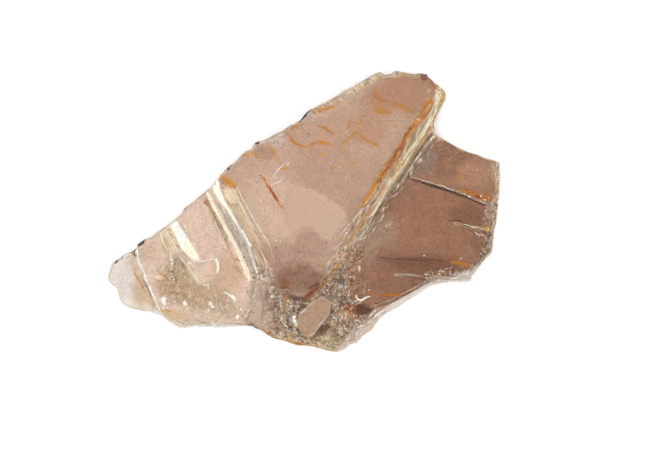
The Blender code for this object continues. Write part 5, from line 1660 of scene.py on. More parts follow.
# Bundles of splinters: the spine with the spread at each point, how many, how long, how far they wander,
# how wide they are, and their colours.
BUNDLES = [
    ([(-22.4, 7.6, 0.8), (-19, 1.2, 0.5), (-14, -7.8, 0.4), (-12.3, -14.6, 0.5)], 40, (2, 9), 0.01,
     (0.05, 0.129), [(WHITE, 4), ((250, 244, 228), 3)]),
    ([(-24.2, 5.2, 0.4), (-21.8, 0.8, 0.4), (-18.2, -6.2, 0.5), (-15.2, -12.8, 0.4), (-13.7, -17.4, 0.4)], 46,
     (2, 8), 0.02, (0.05, 0.144), PALE),
    ([(-22.6, 3.4, 0.8), (-18.6, -3.6, 1), (-15.4, -10.4, 1), (-13.6, -15.4, 0.8)], 60, (1.5, 7), 0.02,
     (0.05, 0.114), GREYS),
    ([(-18.6, 5, 1), (-16, -0.4, 0.8), (-12.6, -7.6, 0.7)], 50, (1.5, 6), 0.02, (0.05, 0.114), TANS),
    ([(-15.8, 5.6, 0.8), (-12.4, -2.4, 0.9), (-9.2, -10, 1.2), (-8.2, -13.6, 1.4)], 40, (2, 8), 0.03,
     (0.05, 0.098), [(CREAM, 2), (1.2, 3), (1.1, 2)]),
    ([(-24.6, 3, 0.7), (-21.4, -4, 0.6), (-18.6, -9.4, 0.6)], 34, (1, 4), 0.03, (0.05, 0.114),
     [(0.7, 3), ((176, 140, 96), 2), (1.1, 2)]),
    ([(-34.6, -3.6, 0.8), (-33, -7.4, 0.8), (-31, -11.2, 0.7), (-28.4, -14.8, 0.5), (-25.2, -19.4, 0.4)], 70,
     (1.5, 7), 0.015, (0.05, 0.12),
     [((255, 246, 230), 4), ((244, 214, 180), 3), ((226, 188, 156), 2), ((190, 160, 130), 1)]),
    # Dark splinters along the crack: a painted shadow below its step.
    ([(28, 7.5, 0.15), (32, 6.4, 0.25), (36, 5.2, 0.3), (40, 3.7, 0.25), (43.6, 2.4, 0.2)], 40, (1, 4), 0.01,
     (0.08, 0.16), [((96, 74, 60), 3), ((70, 52, 42), 2), ((130, 104, 86), 1)]),
    ([(-36.2, -4.6, 0.9), (-34, -9.6, 1), (-32, -15, 1.2)], 50, (1.5, 6), 0.03, (0.05, 0.114), TANS),
    ([(-29.6, -10.6, 1), (-27.6, -14.4, 1.2), (-24.6, -19.6, 0.8)], 40, (1.5, 6), 0.04, (0.05, 0.098),
     [(CREAM, 2), (1.15, 4)]),
    ([(-42.2, -12, 0.5), (-40.2, -17, 0.6), (-37, -24.4, 0.6)], 24, (1.5, 6), 0.05, (0.05, 0.114), TANS),
    ([(31.6, 27.4, 0.9), (28, 22, 0.8), (24.4, 16, 0.8), (20.8, 10.8, 0.8), (17.2, 4.6, 0.5)], 190, (0.4, 2),
     0.1, (0.08, 0.16), RUSTY),
    ([(32.6, 28, 0.4), (30.8, 23.8, 0.6), (27.6, 18.8, 0.7), (25, 14.4, 0.7), (22.4, 10.4, 0.7),
      (19.4, 5.8, 0.7), (15.2, -1, 0.8), (11, -7.6, 1)], 90, (1, 4), 0.04, (0.07, 0.13), BROWNS),
    ([(33.2, 28, 0.4), (31.4, 22.8, 0.5), (28.6, 18.2, 0.6), (26.2, 14, 0.6), (24, 10.4, 0.6), (21, 5.8, 0.6),
      (16.8, -0.8, 0.7), (12.4, -7, 0.8)], 90, (1, 6), 0.03, (0.07, 0.13), CREAMS),
    ([(32, 19.4, 0.6), (28.8, 14.6, 0.8), (25.4, 9.6, 0.8), (21.8, 4.2, 0.8), (17.6, -2, 0.8),
      (13.6, -7.6, 0.8)], 70, (1, 5), 0.03, (0.06, 0.11), GREYS),
    ([(31.6, 21.4, 0.14), (28.6, 16.6, 0.25), (25.4, 11.8, 0.25), (21, 5.4, 0.25)], 26, (1.5, 6), 0.01,
     (0.05, 0.083), [((196, 166, 92), 3), ((176, 140, 76), 2)]),
    ([(34.4, 31, 1.2), (34.4, 28.4, 1), (33.4, 25, 0.6)], 70, (1, 4), 0.15, (0.065, 0.144),
     [(WHITE, 2), (CREAM, 3), ((228, 190, 96), 4), ((186, 150, 92), 2)]),
    ([(12.6, -5.6, 2), (9.6, -11, 2.4), (7.2, -15.6, 2.2), (5, -19.4, 1.8)], 70, (0.8, 3.5), 0.3,
     (0.07, 0.13), MIXED),
    ([(26.4, 8.6, 0.15), (32, 7.1, 0.2), (39.4, 4.6, 0.25), (46, 1.6, 0.6)], 30, (0.8, 4), 0.08,
     (0.05, 0.098), GREYS),
    ([(37, -2.4, 0.5), (42, -4.3, 0.6), (46.4, -5.6, 0.9)], 30, (0.6, 2.5), 0.2, (0.05, 0.098), MIXED),
    ([(20, -15.8, 0.25), (27, -16.2, 0.4), (31.6, -16.6, 0.6), (38, -16.2, 0.8), (42, -16.6, 0.6)], 50,
     (0.8, 4), 0.1, (0.05, 0.114), GREYS),
    ([(16, -11.4, 0.5), (26, -12.4, 1.4), (36, -13.4, 1.2)], 40, (1.5, 8), 0.03, (0.05, 0.098),
     [(0.75, 3), (1.15, 2)]),
    ([(-13.4, -14, 0.8), (-12.4, -20, 0.9), (-13.4, -26.4, 0.7)], 24, (1, 4), 0.12, (0.05, 0.11),
     [(CREAM, 3), (1.15, 3)]),
    ([(-42.9, -9.6, 0.3), (-42.4, -12.4, 0.3), (-41.4, -14.8, 0.3), (-40.7, -17, 0.3), (-39.9, -19, 0.3),
      (-38.7, -21.2, 0.3), (-37.6, -23.8, 0.3)], 60, (0.8, 4), 0.02, (0.07, 0.14),
     [((244, 230, 206), 3), ((230, 200, 164), 3), (WHITE, 2)]),
    ([(-21, 5, 0.9), (-17.6, -2, 0.9), (-14.2, -9, 0.8)], 60, (1.5, 7), 0.01, (0.05, 0.1),
     [((236, 226, 212), 3), ((250, 246, 236), 2), ((188, 172, 156), 2)]),
    ([(-17.4, 4, 1.4), (-13.4, -3.6, 1.6), (-9.6, -11, 1.6)], 46, (1.5, 8), 0.015, (0.05, 0.09),
     [(1.2, 3), (CREAM, 2)]),
    ([(9.6, -15, 2.4), (9, -22, 1.6), (8, -28, 1.8), (8, -33.6, 2)], 40, (0.8, 3), 0.6, (0.06, 0.12), MIXED),
    ([(10, -23, 1), (11.6, -26.4, 1.4), (13, -29.6, 1)], 30, (0.6, 2.5), 0.5, (0.08, 0.15), MIXED),
    ([(13.6, -29.6, 0.7), (16.6, -26.8, 0.6), (20, -24, 0.5), (26, -20.4, 0.5), (31, -17.8, 0.5)], 60,
     (0.8, 4), 0.06, (0.05, 0.114), [(CREAM, 2), (1.15, 3), (0.75, 2)]),
]
# Scattered splinters: the zone, how many, how long, heading, how far they turn, how wide, and the colours.
SWIRLS = [
    ([(7.2, -16), (10.6, -15), (11, -22), (10.4, -30), (9, -33.4), (6.6, -31), (7.4, -24)], 110, (0.5, 2.4),
     -75, 1.5, (0.06, 0.13), MIXED),
    ([(-34.4, -9), (-32.6, -9), (-31.4, -14.4), (-33.4, -14.6)], 60, (0.2, 0.8), -70, 0.8, (0.07, 0.12),
     [(WHITE, 4), ((226, 214, 200), 2)]),
    ([(-7.6, -18.4), (-5.6, -18.4), (-3, -22), (-2.6, -26), (-0.6, -31), (-7, -29.6)], 120, (0.6, 3.2), -70,
     0.8, (0.08, 0.15), MIXED),
    ([(-12.6, -16.4), (-8, -17), (-8, -29), (-12.4, -28)], 26, (0.6, 3), -80, 0.5, (0.07, 0.12),
     [(1.16, 3), ((240, 222, 186), 2), (0.8, 1)]),
    ([(9, -13), (14, -12), (17, -22), (17.6, -25), (10, -31), (8.4, -24)], 120, (0.5, 2.6), -50, 1.1,
     (0.08, 0.15), MIXED),
    ([(-9.4, -28.4), (-7, -26.4), (0, -31), (6, -33.6), (0, -33.4), (-8, -31)], 90, (0.5, 2.4), -20, 0.8,
     (0.07, 0.13), MIXED),
    ([(1.6, -31.6), (6.6, -28.6), (13, -28), (11.6, -32.4), (6, -34.4), (1.6, -33)], 70, (0.6, 2.6), -20, 0.9,
     (0.08, 0.16), MIXED),
    ([(-37.4, -13.4), (-31, -13.2), (-26.6, -20.4), (-19.6, -20.2), (-14.4, -25.6), (-24, -25.6),
      (-35.6, -24.2)], 110, (0.4, 2.4), -50, 0.8, (0.07, 0.13),
     [((250, 240, 220), 2), (1.25, 3), (0.72, 3), (0.55, 1)]),
    (LOWER_LEFT, 200, (0.2, 1), -40, 1.2, (0.07, 0.13),
     [(WHITE, 3), ((228, 214, 194), 3), (1.2, 3), (0.7, 2)]),
    ([(-24, -19.6), (-18, -19.4), (-13.6, -25.6), (-17, -26.4), (-24, -25.6)], 60, (0.3, 1.6), -40, 0.9,
     (0.07, 0.12), [(WHITE, 3), (1.25, 2), (0.75, 2)]),
    ([(-36, -25), (-15, -25), (-15, -28), (-30, -28.6)], 40, (0.5, 3), -6, 0.3, (0.07, 0.12),
     [(1.15, 3), ((250, 236, 206), 2)]),
    ([(44.6, 2.6), (47.2, 3.4), (47.4, 12.6), (50, 13), (50, -9), (46, -13), (43.4, -12), (45.2, -5)], 130,
     (0.3, 1.6), 60, 1.2, (0.08, 0.15), MIXED),
    ([(30, -15), (43.6, -13), (42.6, -15.4), (31, -18)], 60, (0.3, 1.8), 10, 0.9, (0.08, 0.16), MIXED),
    ([(-10, 18), (-3, 20.6), (0, 13), (-6, 9), (-14, 14)], 14, (0.8, 3), 50, 0.3, (0.06, 0.1), FAINT),
    ([(-14, 12), (18, 33), (31, 30), (20, 10), (8, -10), (-8, -12), (-14, 0)], 26, (0.3, 1.6), 60, 0.6,
     (0.05, 0.09), FAINT),
    ([(24, 8), (33, 18), (47, 12), (46, -10), (20, -20), (14, -10)], 150, (0.3, 2.2), -40, 0.9, (0.06, 0.11),
     [(1.3, 3), (1.6, 1), (0.78, 2)]),
    ([(28, 10), (33, 18.6), (40, 14.6), (34, 7.4), (27.6, 8.8)], 140, (0.3, 2), 60, 0.7, (0.06, 0.11),
     [(1.3, 3), (1.6, 2), ((222, 200, 182), 1), (0.8, 1)]),
    ([(42, 12), (47.6, 11.6), (47.6, 2), (46.4, -6), (42.6, -3), (44, 4.6)], 130, (0.2, 1.2), 50, 1,
     (0.07, 0.12), [(1.4, 3), ((228, 208, 184), 2), (0.75, 1)]),
    ([(14.6, -3), (20.6, 4.4), (24.6, 6), (25, -2), (18.6, -8)], 110, (0.4, 2.4), 55, 0.6, (0.06, 0.11),
     [(1.25, 3), (1.5, 1), (0.8, 2)]),
    ([(-8, -8), (8, -10), (6, -16), (0, -21), (-8, -17)], 150, (0.3, 1.8), 20, 1, (0.06, 0.11),
     [(1.25, 3), (1.5, 1), (0.76, 3)]),
    (LOWER_LEFT, 170, (0.2, 0.9), -70, 1.4, (0.07, 0.13),
     [((255, 248, 236), 2), (1.3, 3), (0.75, 3), ((176, 140, 98), 1)]),
    ([(-40, -9), (-26, 3), (-18, -12), (-22, -20), (-38, -20)], 24, (0.3, 1.8), -60, 0.5, (0.05, 0.09),
     FAINT),
]
# Splinters along the edge: the box, how many, how long, how far in, how wide, and their colours.
EDGES = [
    (((-50, -26), (-36, -13)), 40, (1.5, 6), (0.15, 0.8), (0.05, 0.129), PALE),
    (((-37, -31), (-14, -24)), 80, (1.5, 8), (0.15, 1.3), (0.05, 0.129), PALE),
    (((-14, -36), (10, -28)), 60, (1.5, 7), (0.15, 0.9), (0.065, 0.16),
     [(YELLOW, 3), (ORANGE, 2), (CREAM, 3)]),
    (((8, -36), (45, -16)), 110, (2, 9), (0.15, 1.8), (0.05, 0.11),
     [((252, 242, 228), 4), ((236, 216, 198), 3), ((214, 178, 118), 1)]),
    (((40, -16), (50, 13)), 90, (1, 5), (0.15, 1.4), (0.05, 0.129), PALE),
    (((30, 12), (50, 22)), 50, (2, 7), (0.15, 0.8), (0.05, 0.129),
     [((214, 178, 116), 3), (CREAM, 3), (BROWN, 1)]),
    (((18, 20), (37, 36)), 90, (0.8, 4), (0.13, 1), (0.05, 0.144),
     [((196, 176, 150), 3), ((236, 220, 188), 4), ((204, 168, 92), 3), ((140, 116, 92), 1)]),
    (((-32, -3), (20, 36)), 150, (1, 6), (0.13, 0.9), (0.05, 0.12),
     [((168, 150, 134), 2), ((214, 198, 178), 4), ((240, 230, 214), 3), ((96, 84, 76), 1)]),
    (((-50, -14), (-30, 0)), 60, (1, 5), (0.13, 0.7), (0.05, 0.12),
     [((168, 150, 134), 1), ((226, 210, 188), 3), (WHITE, 2)]),
]
# Scratches and threads in the cleavage faces: the line, its half width and its colour.
SCRATCHES = [
    ([(-4, 12.6), (-1.2, 9.9), (2.5, 5.8)], 0.09, 1.16), ([(-8.2, 8), (-6.4, 10.5), (-4, 12.5)], 0.13, WHITE),
    ([(-8.5, 6.6), (-6.7, 7.1), (-5.3, 8), (-5.1, 8.7)], 0.12, WHITE),
    ([(-7.4, 8.6), (-6.6, 8.4)], 0.15, WHITE),
    ([(-1.2, 14.9), (1.2, 13.8), (3.7, 10.8), (8, 9.3), (9.8, 8)], 0.08, 1.14),
    ([(2.1, -0.2), (2.9, -1.6), (3.4, -2.7)], 0.09, 0.88), ([(-5.3, 0.7), (-4.4, -1), (-3, -1.7)], 0.09, 0.9),
    ([(13.6, 19.5), (15.8, 17.8), (17.3, 15.3)], 0.08, 1.15), ([(7.8, 19.5), (9, 18)], 0.09, 1.3),
    ([(2, 24.4), (2.3, 22.6)], 0.09, 1.3), ([(13.3, 31.5), (14.1, 30.1)], 0.09, 1.3),
    ([(-1.4, 19.6), (-0.7, 20.6)], 0.1, WHITE), ([(2.5, 23.2), (1.9, 22.6)], 0.1, WHITE),
    ([(-6.9, 10.1), (-4.5, 12.2)], 0.12, WHITE), ([(-4.6, 11), (-3.7, 12.4)], 0.12, WHITE),
    ([(-9.6, 10.6), (-9.2, 9.6)], 0.1, CREAM), ([(10, 18.6), (12.1, 20.5)], 0.08, 1.15),
    ([(-2.7, 15.3), (-0.2, 14.1), (1.9, 13.5), (3.8, 11.6)], 0.08, 1.12),
    ([(-4, 19.4), (-2.8, 17.6), (-2.9, 16.2)], 0.1, 1.25), ([(-6.6, 18.4), (-5.2, 16.6)], 0.1, 1.25),
    ([(-9, 13.4), (-7.8, 12.4), (-6.6, 12.2)], 0.08, 1.25),
    ([(3.6, 22), (6.4, 23.4), (7.8, 25.6)], 0.07, 1.15), ([(6, 8.6), (9.6, 12.4), (12, 17)], 0.07, 1.12),
    ([(14, 24), (19.4, 22.6), (24.6, 22.8)], 0.07, 1.12), ([(20.4, 31), (22.6, 28.2), (23, 25)], 0.07, 1.12),
    ([(12, 6.4), (14.6, 9.6), (15.4, 12.2)], 0.07, 1.12), ([(36.4, 13.4), (36.6, 12.4)], 0.1, CREAM),
    ([(40, 12.5), (40.7, 11.6), (41.2, 10.2)], 0.1, (230, 214, 194)),
    ([(42.6, 13.4), (43.4, 13.1)], 0.1, CREAM),
    ([(39.8, 9.5), (42.1, 9.3), (44.5, 8.6)], 0.1, (222, 200, 172)),
    ([(39.65, 9), (39.65, 6.6)], 0.09, (214, 184, 150)), ([(43.8, 7), (44.3, 6.2)], 0.1, CREAM),
    ([(35.1, 9.6), (37.8, 10.1)], 0.08, 1.3), ([(27.1, 11.5), (26.4, 10.2), (26.7, 8.7)], 0.11, CREAM),
    ([(35.8, 1.1), (36.8, 0.2), (37.2, -1.1)], 0.08, 1.3), ([(38.6, 1.6), (39.4, 1.2)], 0.09, 1.4),
    ([(32.6, -1.8), (32.8, -3.3)], 0.09, 1.3), ([(24.3, -2.4), (25.2, -2)], 0.11, (206, 180, 160)),
    ([(26.5, -7.8), (27.1, -8.6)], 0.09, 1.3), ([(30.5, -8.5), (30.7, -9.4), (30.2, -10.6)], 0.09, 1.35),
    ([(37.2, -7.6), (38.2, -8.9), (39, -9.4)], 0.08, (206, 178, 158)),
    ([(40.3, -7.3), (42.1, -10.3), (42.6, -11.8), (43, -13.1)], 0.08, (206, 178, 158)),
    ([(42.1, -4.8), (43.4, -5.6), (44.8, -5.9), (46, -7.3)], 0.11, WHITE),
    ([(42.4, -5.2), (43.6, -5.9), (43.9, -6.6)], 0.12, WHITE),
    ([(44.2, -5.4), (45.5, -6.7), (45.2, -7.6)], 0.11, CREAM), ([(34, -15.3), (34.8, -14.8)], 0.12, WHITE),
    ([(29.9, -15.3), (30.6, -15.9), (31.4, -15.7)], 0.13, WHITE),
    ([(30.2, -16.3), (31, -16.6), (31.2, -17.2)], 0.12, WHITE), ([(40.7, 3.9), (41.7, 3.5)], 0.15, WHITE),
    ([(43.8, 4.1), (44.4, 3.5)], 0.15, WHITE), ([(44.7, 2.9), (45.5, 2.7)], 0.14, WHITE),
    ([(38.9, 5), (39.3, 4)], 0.09, (190, 174, 160)), ([(36.2, 6.1), (36.6, 5.1)], 0.08, (190, 174, 160)),
    ([(33, 7.4), (33.5, 6.2)], 0.08, (180, 160, 144)),
    ([(23.7, -15.6), (26.4, -15.8), (29.8, -16.1)], 0.16, (176, 164, 158)),
    ([(22.6, -15.4), (25.4, -15.5), (28.6, -15.8)], 0.12, (190, 178, 172)),
    ([(31.5, 8.8), (33.4, 11.4)], 0.07, 1.2), ([(34.6, 12.6), (37.4, 14.6)], 0.07, 1.2),
    ([(30.4, 12.8), (32.6, 15.8)], 0.07, 1.25), ([(22, 1), (26.4, 2.6), (31, 2.4)], 0.07, 1.15),
    ([(19, -9), (24.6, -8.2), (29, -9)], 0.07, 1.15), ([(31, -5.4), (35.4, -4.4), (38.2, -5)], 0.07, 1.15),
    ([(24, -13.9), (29.6, -14.3), (34, -13.8)], 0.08, 1.2),
    ([(18.6, -14.4), (22.6, -14.2), (26.8, -14.6)], 0.07, 1.2),
    ([(9.9, -34.1), (12.6, -33), (14.8, -31.4)], 0.1, WHITE),
    ([(-5.2, -22.8), (-3.4, -23.6), (0, -23.7)], 0.13, CREAM),
    ([(-7.9, -22.2), (-8.1, -24.6), (-7.6, -27.4)], 0.1, (236, 206, 150)),
    ([(0, -24), (1.8, -22.2), (3.7, -20.7), (4.6, -19.5), (5.5, -18.2), (6.4, -16.1)], 0.12, (240, 206, 160)),
    ([(-25.1, -18.7), (-23.9, -18.1), (-24, -20)], 0.14, WHITE),
    ([(-20, -20.3), (-18.5, -20.9), (-17.4, -21.8)], 0.16, WHITE),
    ([(-15.8, -23.9), (-15.2, -25.2), (-14.5, -26.1)], 0.1, CREAM),
    ([(-17, -26.7), (-16.1, -26.1)], 0.16, WHITE),
    ([(-35.9, -23.9), (-29.8, -23.9), (-26.5, -24.5), (-23.7, -25.5)], 0.09, (240, 214, 170)),
    ([(-12.7, -15.8), (-12.2, -19), (-12.6, -22), (-13.5, -24.6), (-14.6, -26.6)], 0.09, (236, 220, 196)),
]
SCRATCH_STEP = 0.22
# Dots: the place, the radius and the colour.
DOTS = [
    (1.2, 19.3, 0.2, BLACK), (0.2, 18.2, 0.14, BROWN), (-11.9, 5, 0.16, DARK), (8.6, 23.2, 0.12, BROWN),
    (5.7, -7.7, 0.2, DARK), (-9.8, 12.5, 0.14, WHITE), (-3.9, 12.1, 0.22, WHITE), (-10.6, 2.6, 0.16, WHITE),
    (-12.6, 2, 0.14, CREAM), (39.3, -11.7, 0.22, (226, 200, 180)), (39, -11.9, 0.14, CREAM),
    (45.2, -4.4, 0.3, (206, 178, 84)), (45.9, -4.4, 0.36, (212, 184, 92)), (30, -11, 0.2, WHITE),
    (24.7, -2.2, 0.16, CREAM), (41.2, 3.7, 0.24, WHITE), (44.1, 3.8, 0.24, WHITE), (28.8, 22.9, 0.2, WHITE),
    (28.2, 23.1, 0.14, WHITE), (-14.1, -20.2, 0.2, DARK), (-20.5, -9.3, 0.2, BROWN),
    (-15, -11.4, 0.24, BROWN), (-7.4, -6.6, 0.16, WHITE), (-6.8, -7.2, 0.2, WHITE), (-5.9, -7.4, 0.14, CREAM),
    (5.2, 0.9, 0.16, WHITE), (-2.8, 4.4, 0.1, CREAM), (12.9, 13.9, 0.14, CREAM), (16.4, 25.4, 0.12, CREAM),
    (45.1, 2.9, 0.2, WHITE), (20.6, -3.6, 0.2, WHITE), (21.4, -3.2, 0.16, WHITE), (22, -2.7, 0.16, CREAM),
    (18.8, -4.6, 0.14, CREAM), (-40.3, -18.7, 0.16, DEEP_RUST), (-39.3, -20.3, 0.18, DEEP_RUST),
    (-38.6, -20.8, 0.16, DEEP_RUST), (-19, -15.4, 0.12, BROWN), (34.4, -15.1, 0.24, WHITE),
    (-35.1, -21.8, 0.6, WHITE), (-35, -22.9, 0.5, WHITE), (-29.8, -22.8, 0.5, WHITE),
    (-29.4, -23.3, 0.35, CREAM), (-23.4, -23.2, 0.4, (246, 228, 200)), (-22.8, -24, 0.34, WHITE),
    (-23.9, -24.9, 0.3, CREAM), (-17.9, -21.2, 0.42, WHITE), (-16.7, -26.7, 0.46, WHITE),
    (-22.4, -28.4, 0.5, WHITE), (-21.6, -28.1, 0.34, CREAM), (-20.4, -24.2, 0.26, CREAM),
    (-19.4, -24, 0.26, (244, 226, 196)), (-18.8, -24.4, 0.22, WHITE), (-15.8, -24.5, 0.26, WHITE),
    (-31.4, -21.2, 0.2, CREAM), (-33.2, -16.2, 0.24, WHITE), (-32.4, -17, 0.2, WHITE),
    (-36, -14.8, 0.22, WHITE), (-34.6, -15.4, 0.2, WHITE), (-28.3, -5.4, 0.12, BROWN),
    (-24.9, -11.6, 0.1, BROWN), (-20.9, -13.8, 0.12, BROWN), (-19.2, -12.6, 0.14, (206, 150, 90)),
]
# Loose flakes: the zone, how many, their radii, how steep, and how bright beside the book.
FLAKES = [
    (CRUSHED, 80, (0.4, 1.2), 0.25, (0.45, 1.3)),
    ([(-37, -14), (-31.4, -13.4), (-30.8, -18), (-33, -19.6), (-36.8, -17.6)], 26, (0.25, 0.7), 0.4,
     (0.6, 1.35)),
    (LOWER_LEFT, 60, (0.2, 0.5), 0.12, (0.88, 1.16)),
    ([(44.6, 2.6), (47.4, 3.4), (47.6, 12), (48.6, 12), (47.4, -9), (45.6, -11), (44.6, -11), (45.6, -5)], 50,
     (0.2, 0.5), 0.4, (0.6, 1.3)),
    ([(30.4, -15), (43.4, -13), (42.6, -15), (31, -17.6)], 24, (0.2, 0.5), 0.4, (0.6, 1.3)),
    ([(7.8, -10), (14, -5), (15, -10), (12, -19), (6, -17.4)], 40, (0.25, 0.8), 0.3, (0.7, 1.2)),
    (FOOT, 14, (0.4, 1), 0.1, (0.95, 1.08)),
]
# A flake's paler rim is the white of its split edge with a painted highlight where the edge catches the
# light.
FLAKE_RIM, FLAKE_EDGE = 1.15, 0.09  # how much paler a flake's rim is than its middle, and how wide it is


def suits(path, colour):
    """Whether a splinter may lie there: none in the window, and only pale ones on the white streaks."""
    pale = sum(colour) / 3 if len(colour) == 3 else 0
    points = as_array(path)
    return not any(pale < least and inside(zone, points).any() for zone, least in PALE_ONLY)


# Splinters along a thread or a streak: how far they spread beside its width, how many there are to a
# millimetre, and the half width of the widest.
ALONG_THREAD, ALONG_STREAK, THINNEST = (0.5, 1.8, 0.10), (1.1, 1.2, 0.13), 0.05
PALE_ONLY = [(WINDOW, math.inf), (MAIN_STREAK, 236), (WHITE_FACET, 236), (SECOND_STREAK, 205)]


def splinters(ground):
    """All the fine splinters."""
    bits = Bits(ground)
    for line, strength in BRIGHT_LINES:
        length = sum(math.dist(a[:2], b[:2]) for a, b in zip(line, line[1:]))
        spread, per_length, widest = ALONG_THREAD if is_thin(line) else ALONG_STREAK
        spine = [(x, y, w * spread) for x, y, w in line]
        count = int(length * strength * per_length)
        for path, width, colour in bundle_paths(spine, count, (1, 4.5), 0.02, (THINNEST, widest), PALE):
            bits.splinter(path, width, colour)
    for make, specs in ((bundle_paths, BUNDLES), (swirl_paths, SWIRLS), (edge_paths, EDGES)):
        for spec in specs:
            for path, width, colour in make(*spec):
                if suits(path, colour):
                    bits.splinter(path, width, colour)
    for line, width, colour in SCRATCHES:
        path = [(float(x), float(y)) for x, y in resample(ragged(line, 0.08, line[0][0]), SCRATCH_STEP)]
        bits.splinter(path, width, colour if isinstance(colour, tuple) else (colour,))
    return bits.mesh("splinters", SPLINTER_CLEAR)


SPLINTER_CLEAR, FLAKE_CLEAR = 0.15, 0.35


def loose_flakes(ground):
    """The small loose flakes, the dots and crust, and the large flake over the foot of the reeves."""
    bits = Bits(ground)
    for zone, count, radii, steep, brightness in FLAKES:
        places = scattered(zone, count * 4)
        taken = inside(WINDOW, places) | inside(BIG_FLAKE, places) | inside(SHADOW, places)
        for x, y in places[~taken][:count]:
            shade = rng.uniform(*brightness)
            radius = rng.uniform(*radii) * rng.uniform(0.6, 1)
            bits.flake(float(x), float(y), radius, rng.uniform(1.0, 2.2), rng.uniform(0, math.pi),
                       (rng.gauss(0, steep / 2), rng.gauss(0, steep / 2)), (shade,), (shade * FLAKE_RIM,),
                       rng.uniform(0.05, 0.12))
    for x, y, radius, colour in DOTS:
        bits.flake(x, y, radius, 1.2, rng.uniform(0, math.pi), (0, 0), colour, colour, 0.06)
    lay_crust(bits)
    lay_big_flake(bits)
    return bits.mesh("loose_flakes", FLAKE_CLEAR)


def lay_crust(bits):
    """Small black flakes along the crusted stretches of the edge."""
    normals = inward_normals(OUTLINE, 3)
    for line, reach in CRUST:
        for place in resample(line, CRUST_STEP):
            i = np.linalg.norm(OUTLINE - place, axis=1).argmin()
            x, y = OUTLINE[i] + normals[i] * rng.uniform(0.28, 0.3 + reach)
            dark = rng.uniform(6, 34)
            bits.flake(float(x), float(y), rng.uniform(0.14, 0.3), 1.4, rng.uniform(0, math.pi), (0, 0),
                       (dark, dark, dark), (dark + 12, dark + 8, dark + 8), 0.12, 0.04)


def lay_big_flake(bits):
    """The large flake: layers of it, bright threads around its rim, which are the white of split edges with a
    painted highlight, and fine streaks on its face.
    """
    corners = as_array(BIG_FLAKE)
    middle = corners.mean(axis=0)
    for share, lift, colour in BIG_FLAKE_LAYERS:
        ring = ragged(middle + (corners - middle) * share, 0.07, 30 + share * 10, closed=True)
        bits.flake(float(middle[0]), float(middle[1]), 0, 1, 0, BIG_FLAKE_SLOPE, colour, BIG_FLAKE_RIM,
                   BIG_FLAKE_THICK, lift, [tuple(p) for p in ring])
    top = bits.ground.height(*middle) + lift + BIG_FLAKE_THICK * 0.7

    def thread(path, widths, palette):
        """A splinter on the flake's face."""
        heights = [top + float(np.dot(BIG_FLAKE_SLOPE, np.array(p) - middle)) for p in path]
        bits.splinter([tuple(p) for p in path], rng.uniform(*widths), pick(palette), heights)

    ring, first = resample(middle + (corners - middle) * share * 0.93, 0.35, closed=True), 0
    while first < len(ring):
        count = rng.randint(4, 9)
        thread([ring[k % len(ring)] for k in range(first, first + count)], (0.05, 0.14), RIM_THREADS)
        first += count + rng.randint(0, 3)
    low, high = box(corners)
    for _ in range(FLAKE_STREAKS):
        start = np.array([rng.uniform(low[0], high[0]), rng.uniform(low[1], high[1])])
        turn, length = math.radians(rng.gauss(58, 30)), rng.uniform(0.4, 1.6)
        path = [start + length * t * np.array([math.cos(turn), math.sin(turn)]) for t in (0, 0.33, 0.67, 1)]
        if (depth_in(BIG_FLAKE, np.array(path)) > 0.4).all():
            thread(path, (0.05, 0.12), FLAKE_TONES)


CRUST_STEP = 0.22
BIG_FLAKE_LAYERS = [(1, 0.1, (160, 128, 104)), (0.96, 0.38, (174, 140, 114)), (0.92, 0.62, (182, 148, 121))]
# The pale rim and its threads are the white of split edges with a painted highlight.
BIG_FLAKE_SLOPE, BIG_FLAKE_THICK, BIG_FLAKE_RIM, FLAKE_STREAKS = (0.02, -0.05), 0.32, (222, 202, 170), 240
RIM_THREADS = [((255, 250, 236), 3), ((244, 226, 186), 3), ((222, 186, 126), 2), ((170, 138, 110), 2)]
FLAKE_TONES = [((200, 170, 143), 4), ((160, 126, 103), 4), ((216, 192, 166), 1), ((138, 108, 88), 2)]


def chip_material(name, clear, rough):
    """The look of splinters and flakes: their own colours, pearly and a little see-through."""
    nodes = Nodes(name)
    shade = nodes.ramp(nodes.noise(nodes.position(), 1100.0, 4.0, 0.7), 0.3, 0.7, 0.78, 1.18, "LINEAR")
    colour = nodes.scaled(nodes.attribute("tint", "Color"), shade)
    return nodes.finish(Base_Color=colour, Transmission_Weight=clear, Roughness=rough, IOR=IOR)


def crest_grain():
    """The dark red-brown grain in the crest, rounded with worn faces."""
    grain = bmesh.new()
    bmesh.ops.create_icosphere(grain, subdivisions=4, radius=1.0)
    for vertex in grain.verts:
        x, y, z = vertex.co
        facets = max(Vector(n).normalized().dot(vertex.co) for n in GRAIN_FACES)
        lumps = 0.05 * math.sin(5 * x + 2 * z) * math.sin(6 * y - x)
        lumps += 0.02 * math.sin(13 * x + 11 * y + 9 * z)
        vertex.co *= 1.0 - 0.28 * max(0, facets - 0.86) / 0.14 + lumps
        vertex.co = Vector(c * r for c, r in zip(vertex.co, GRAIN_RADII))
        vertex.co = (vertex.co + Vector(GRAIN_CENTRE)) * MM
    made = bpy.data.meshes.new("crest_grain")
    grain.to_mesh(made)
    grain.free()
    made.shade_smooth()
    return made


GRAIN_CENTRE, GRAIN_RADII = (30.15, 33.6, 3.45), (0.95, 0.9, 0.75)
GRAIN_FACES = [(1, 1, 1), (-1, 1, 1), (1, -1, 1), (-1, -1, 1), (0, 0, 1), (1, 0, 0.2), (-1, 0, 0.2),
               (0, 1, 0.2), (0, -1, 0.2)]


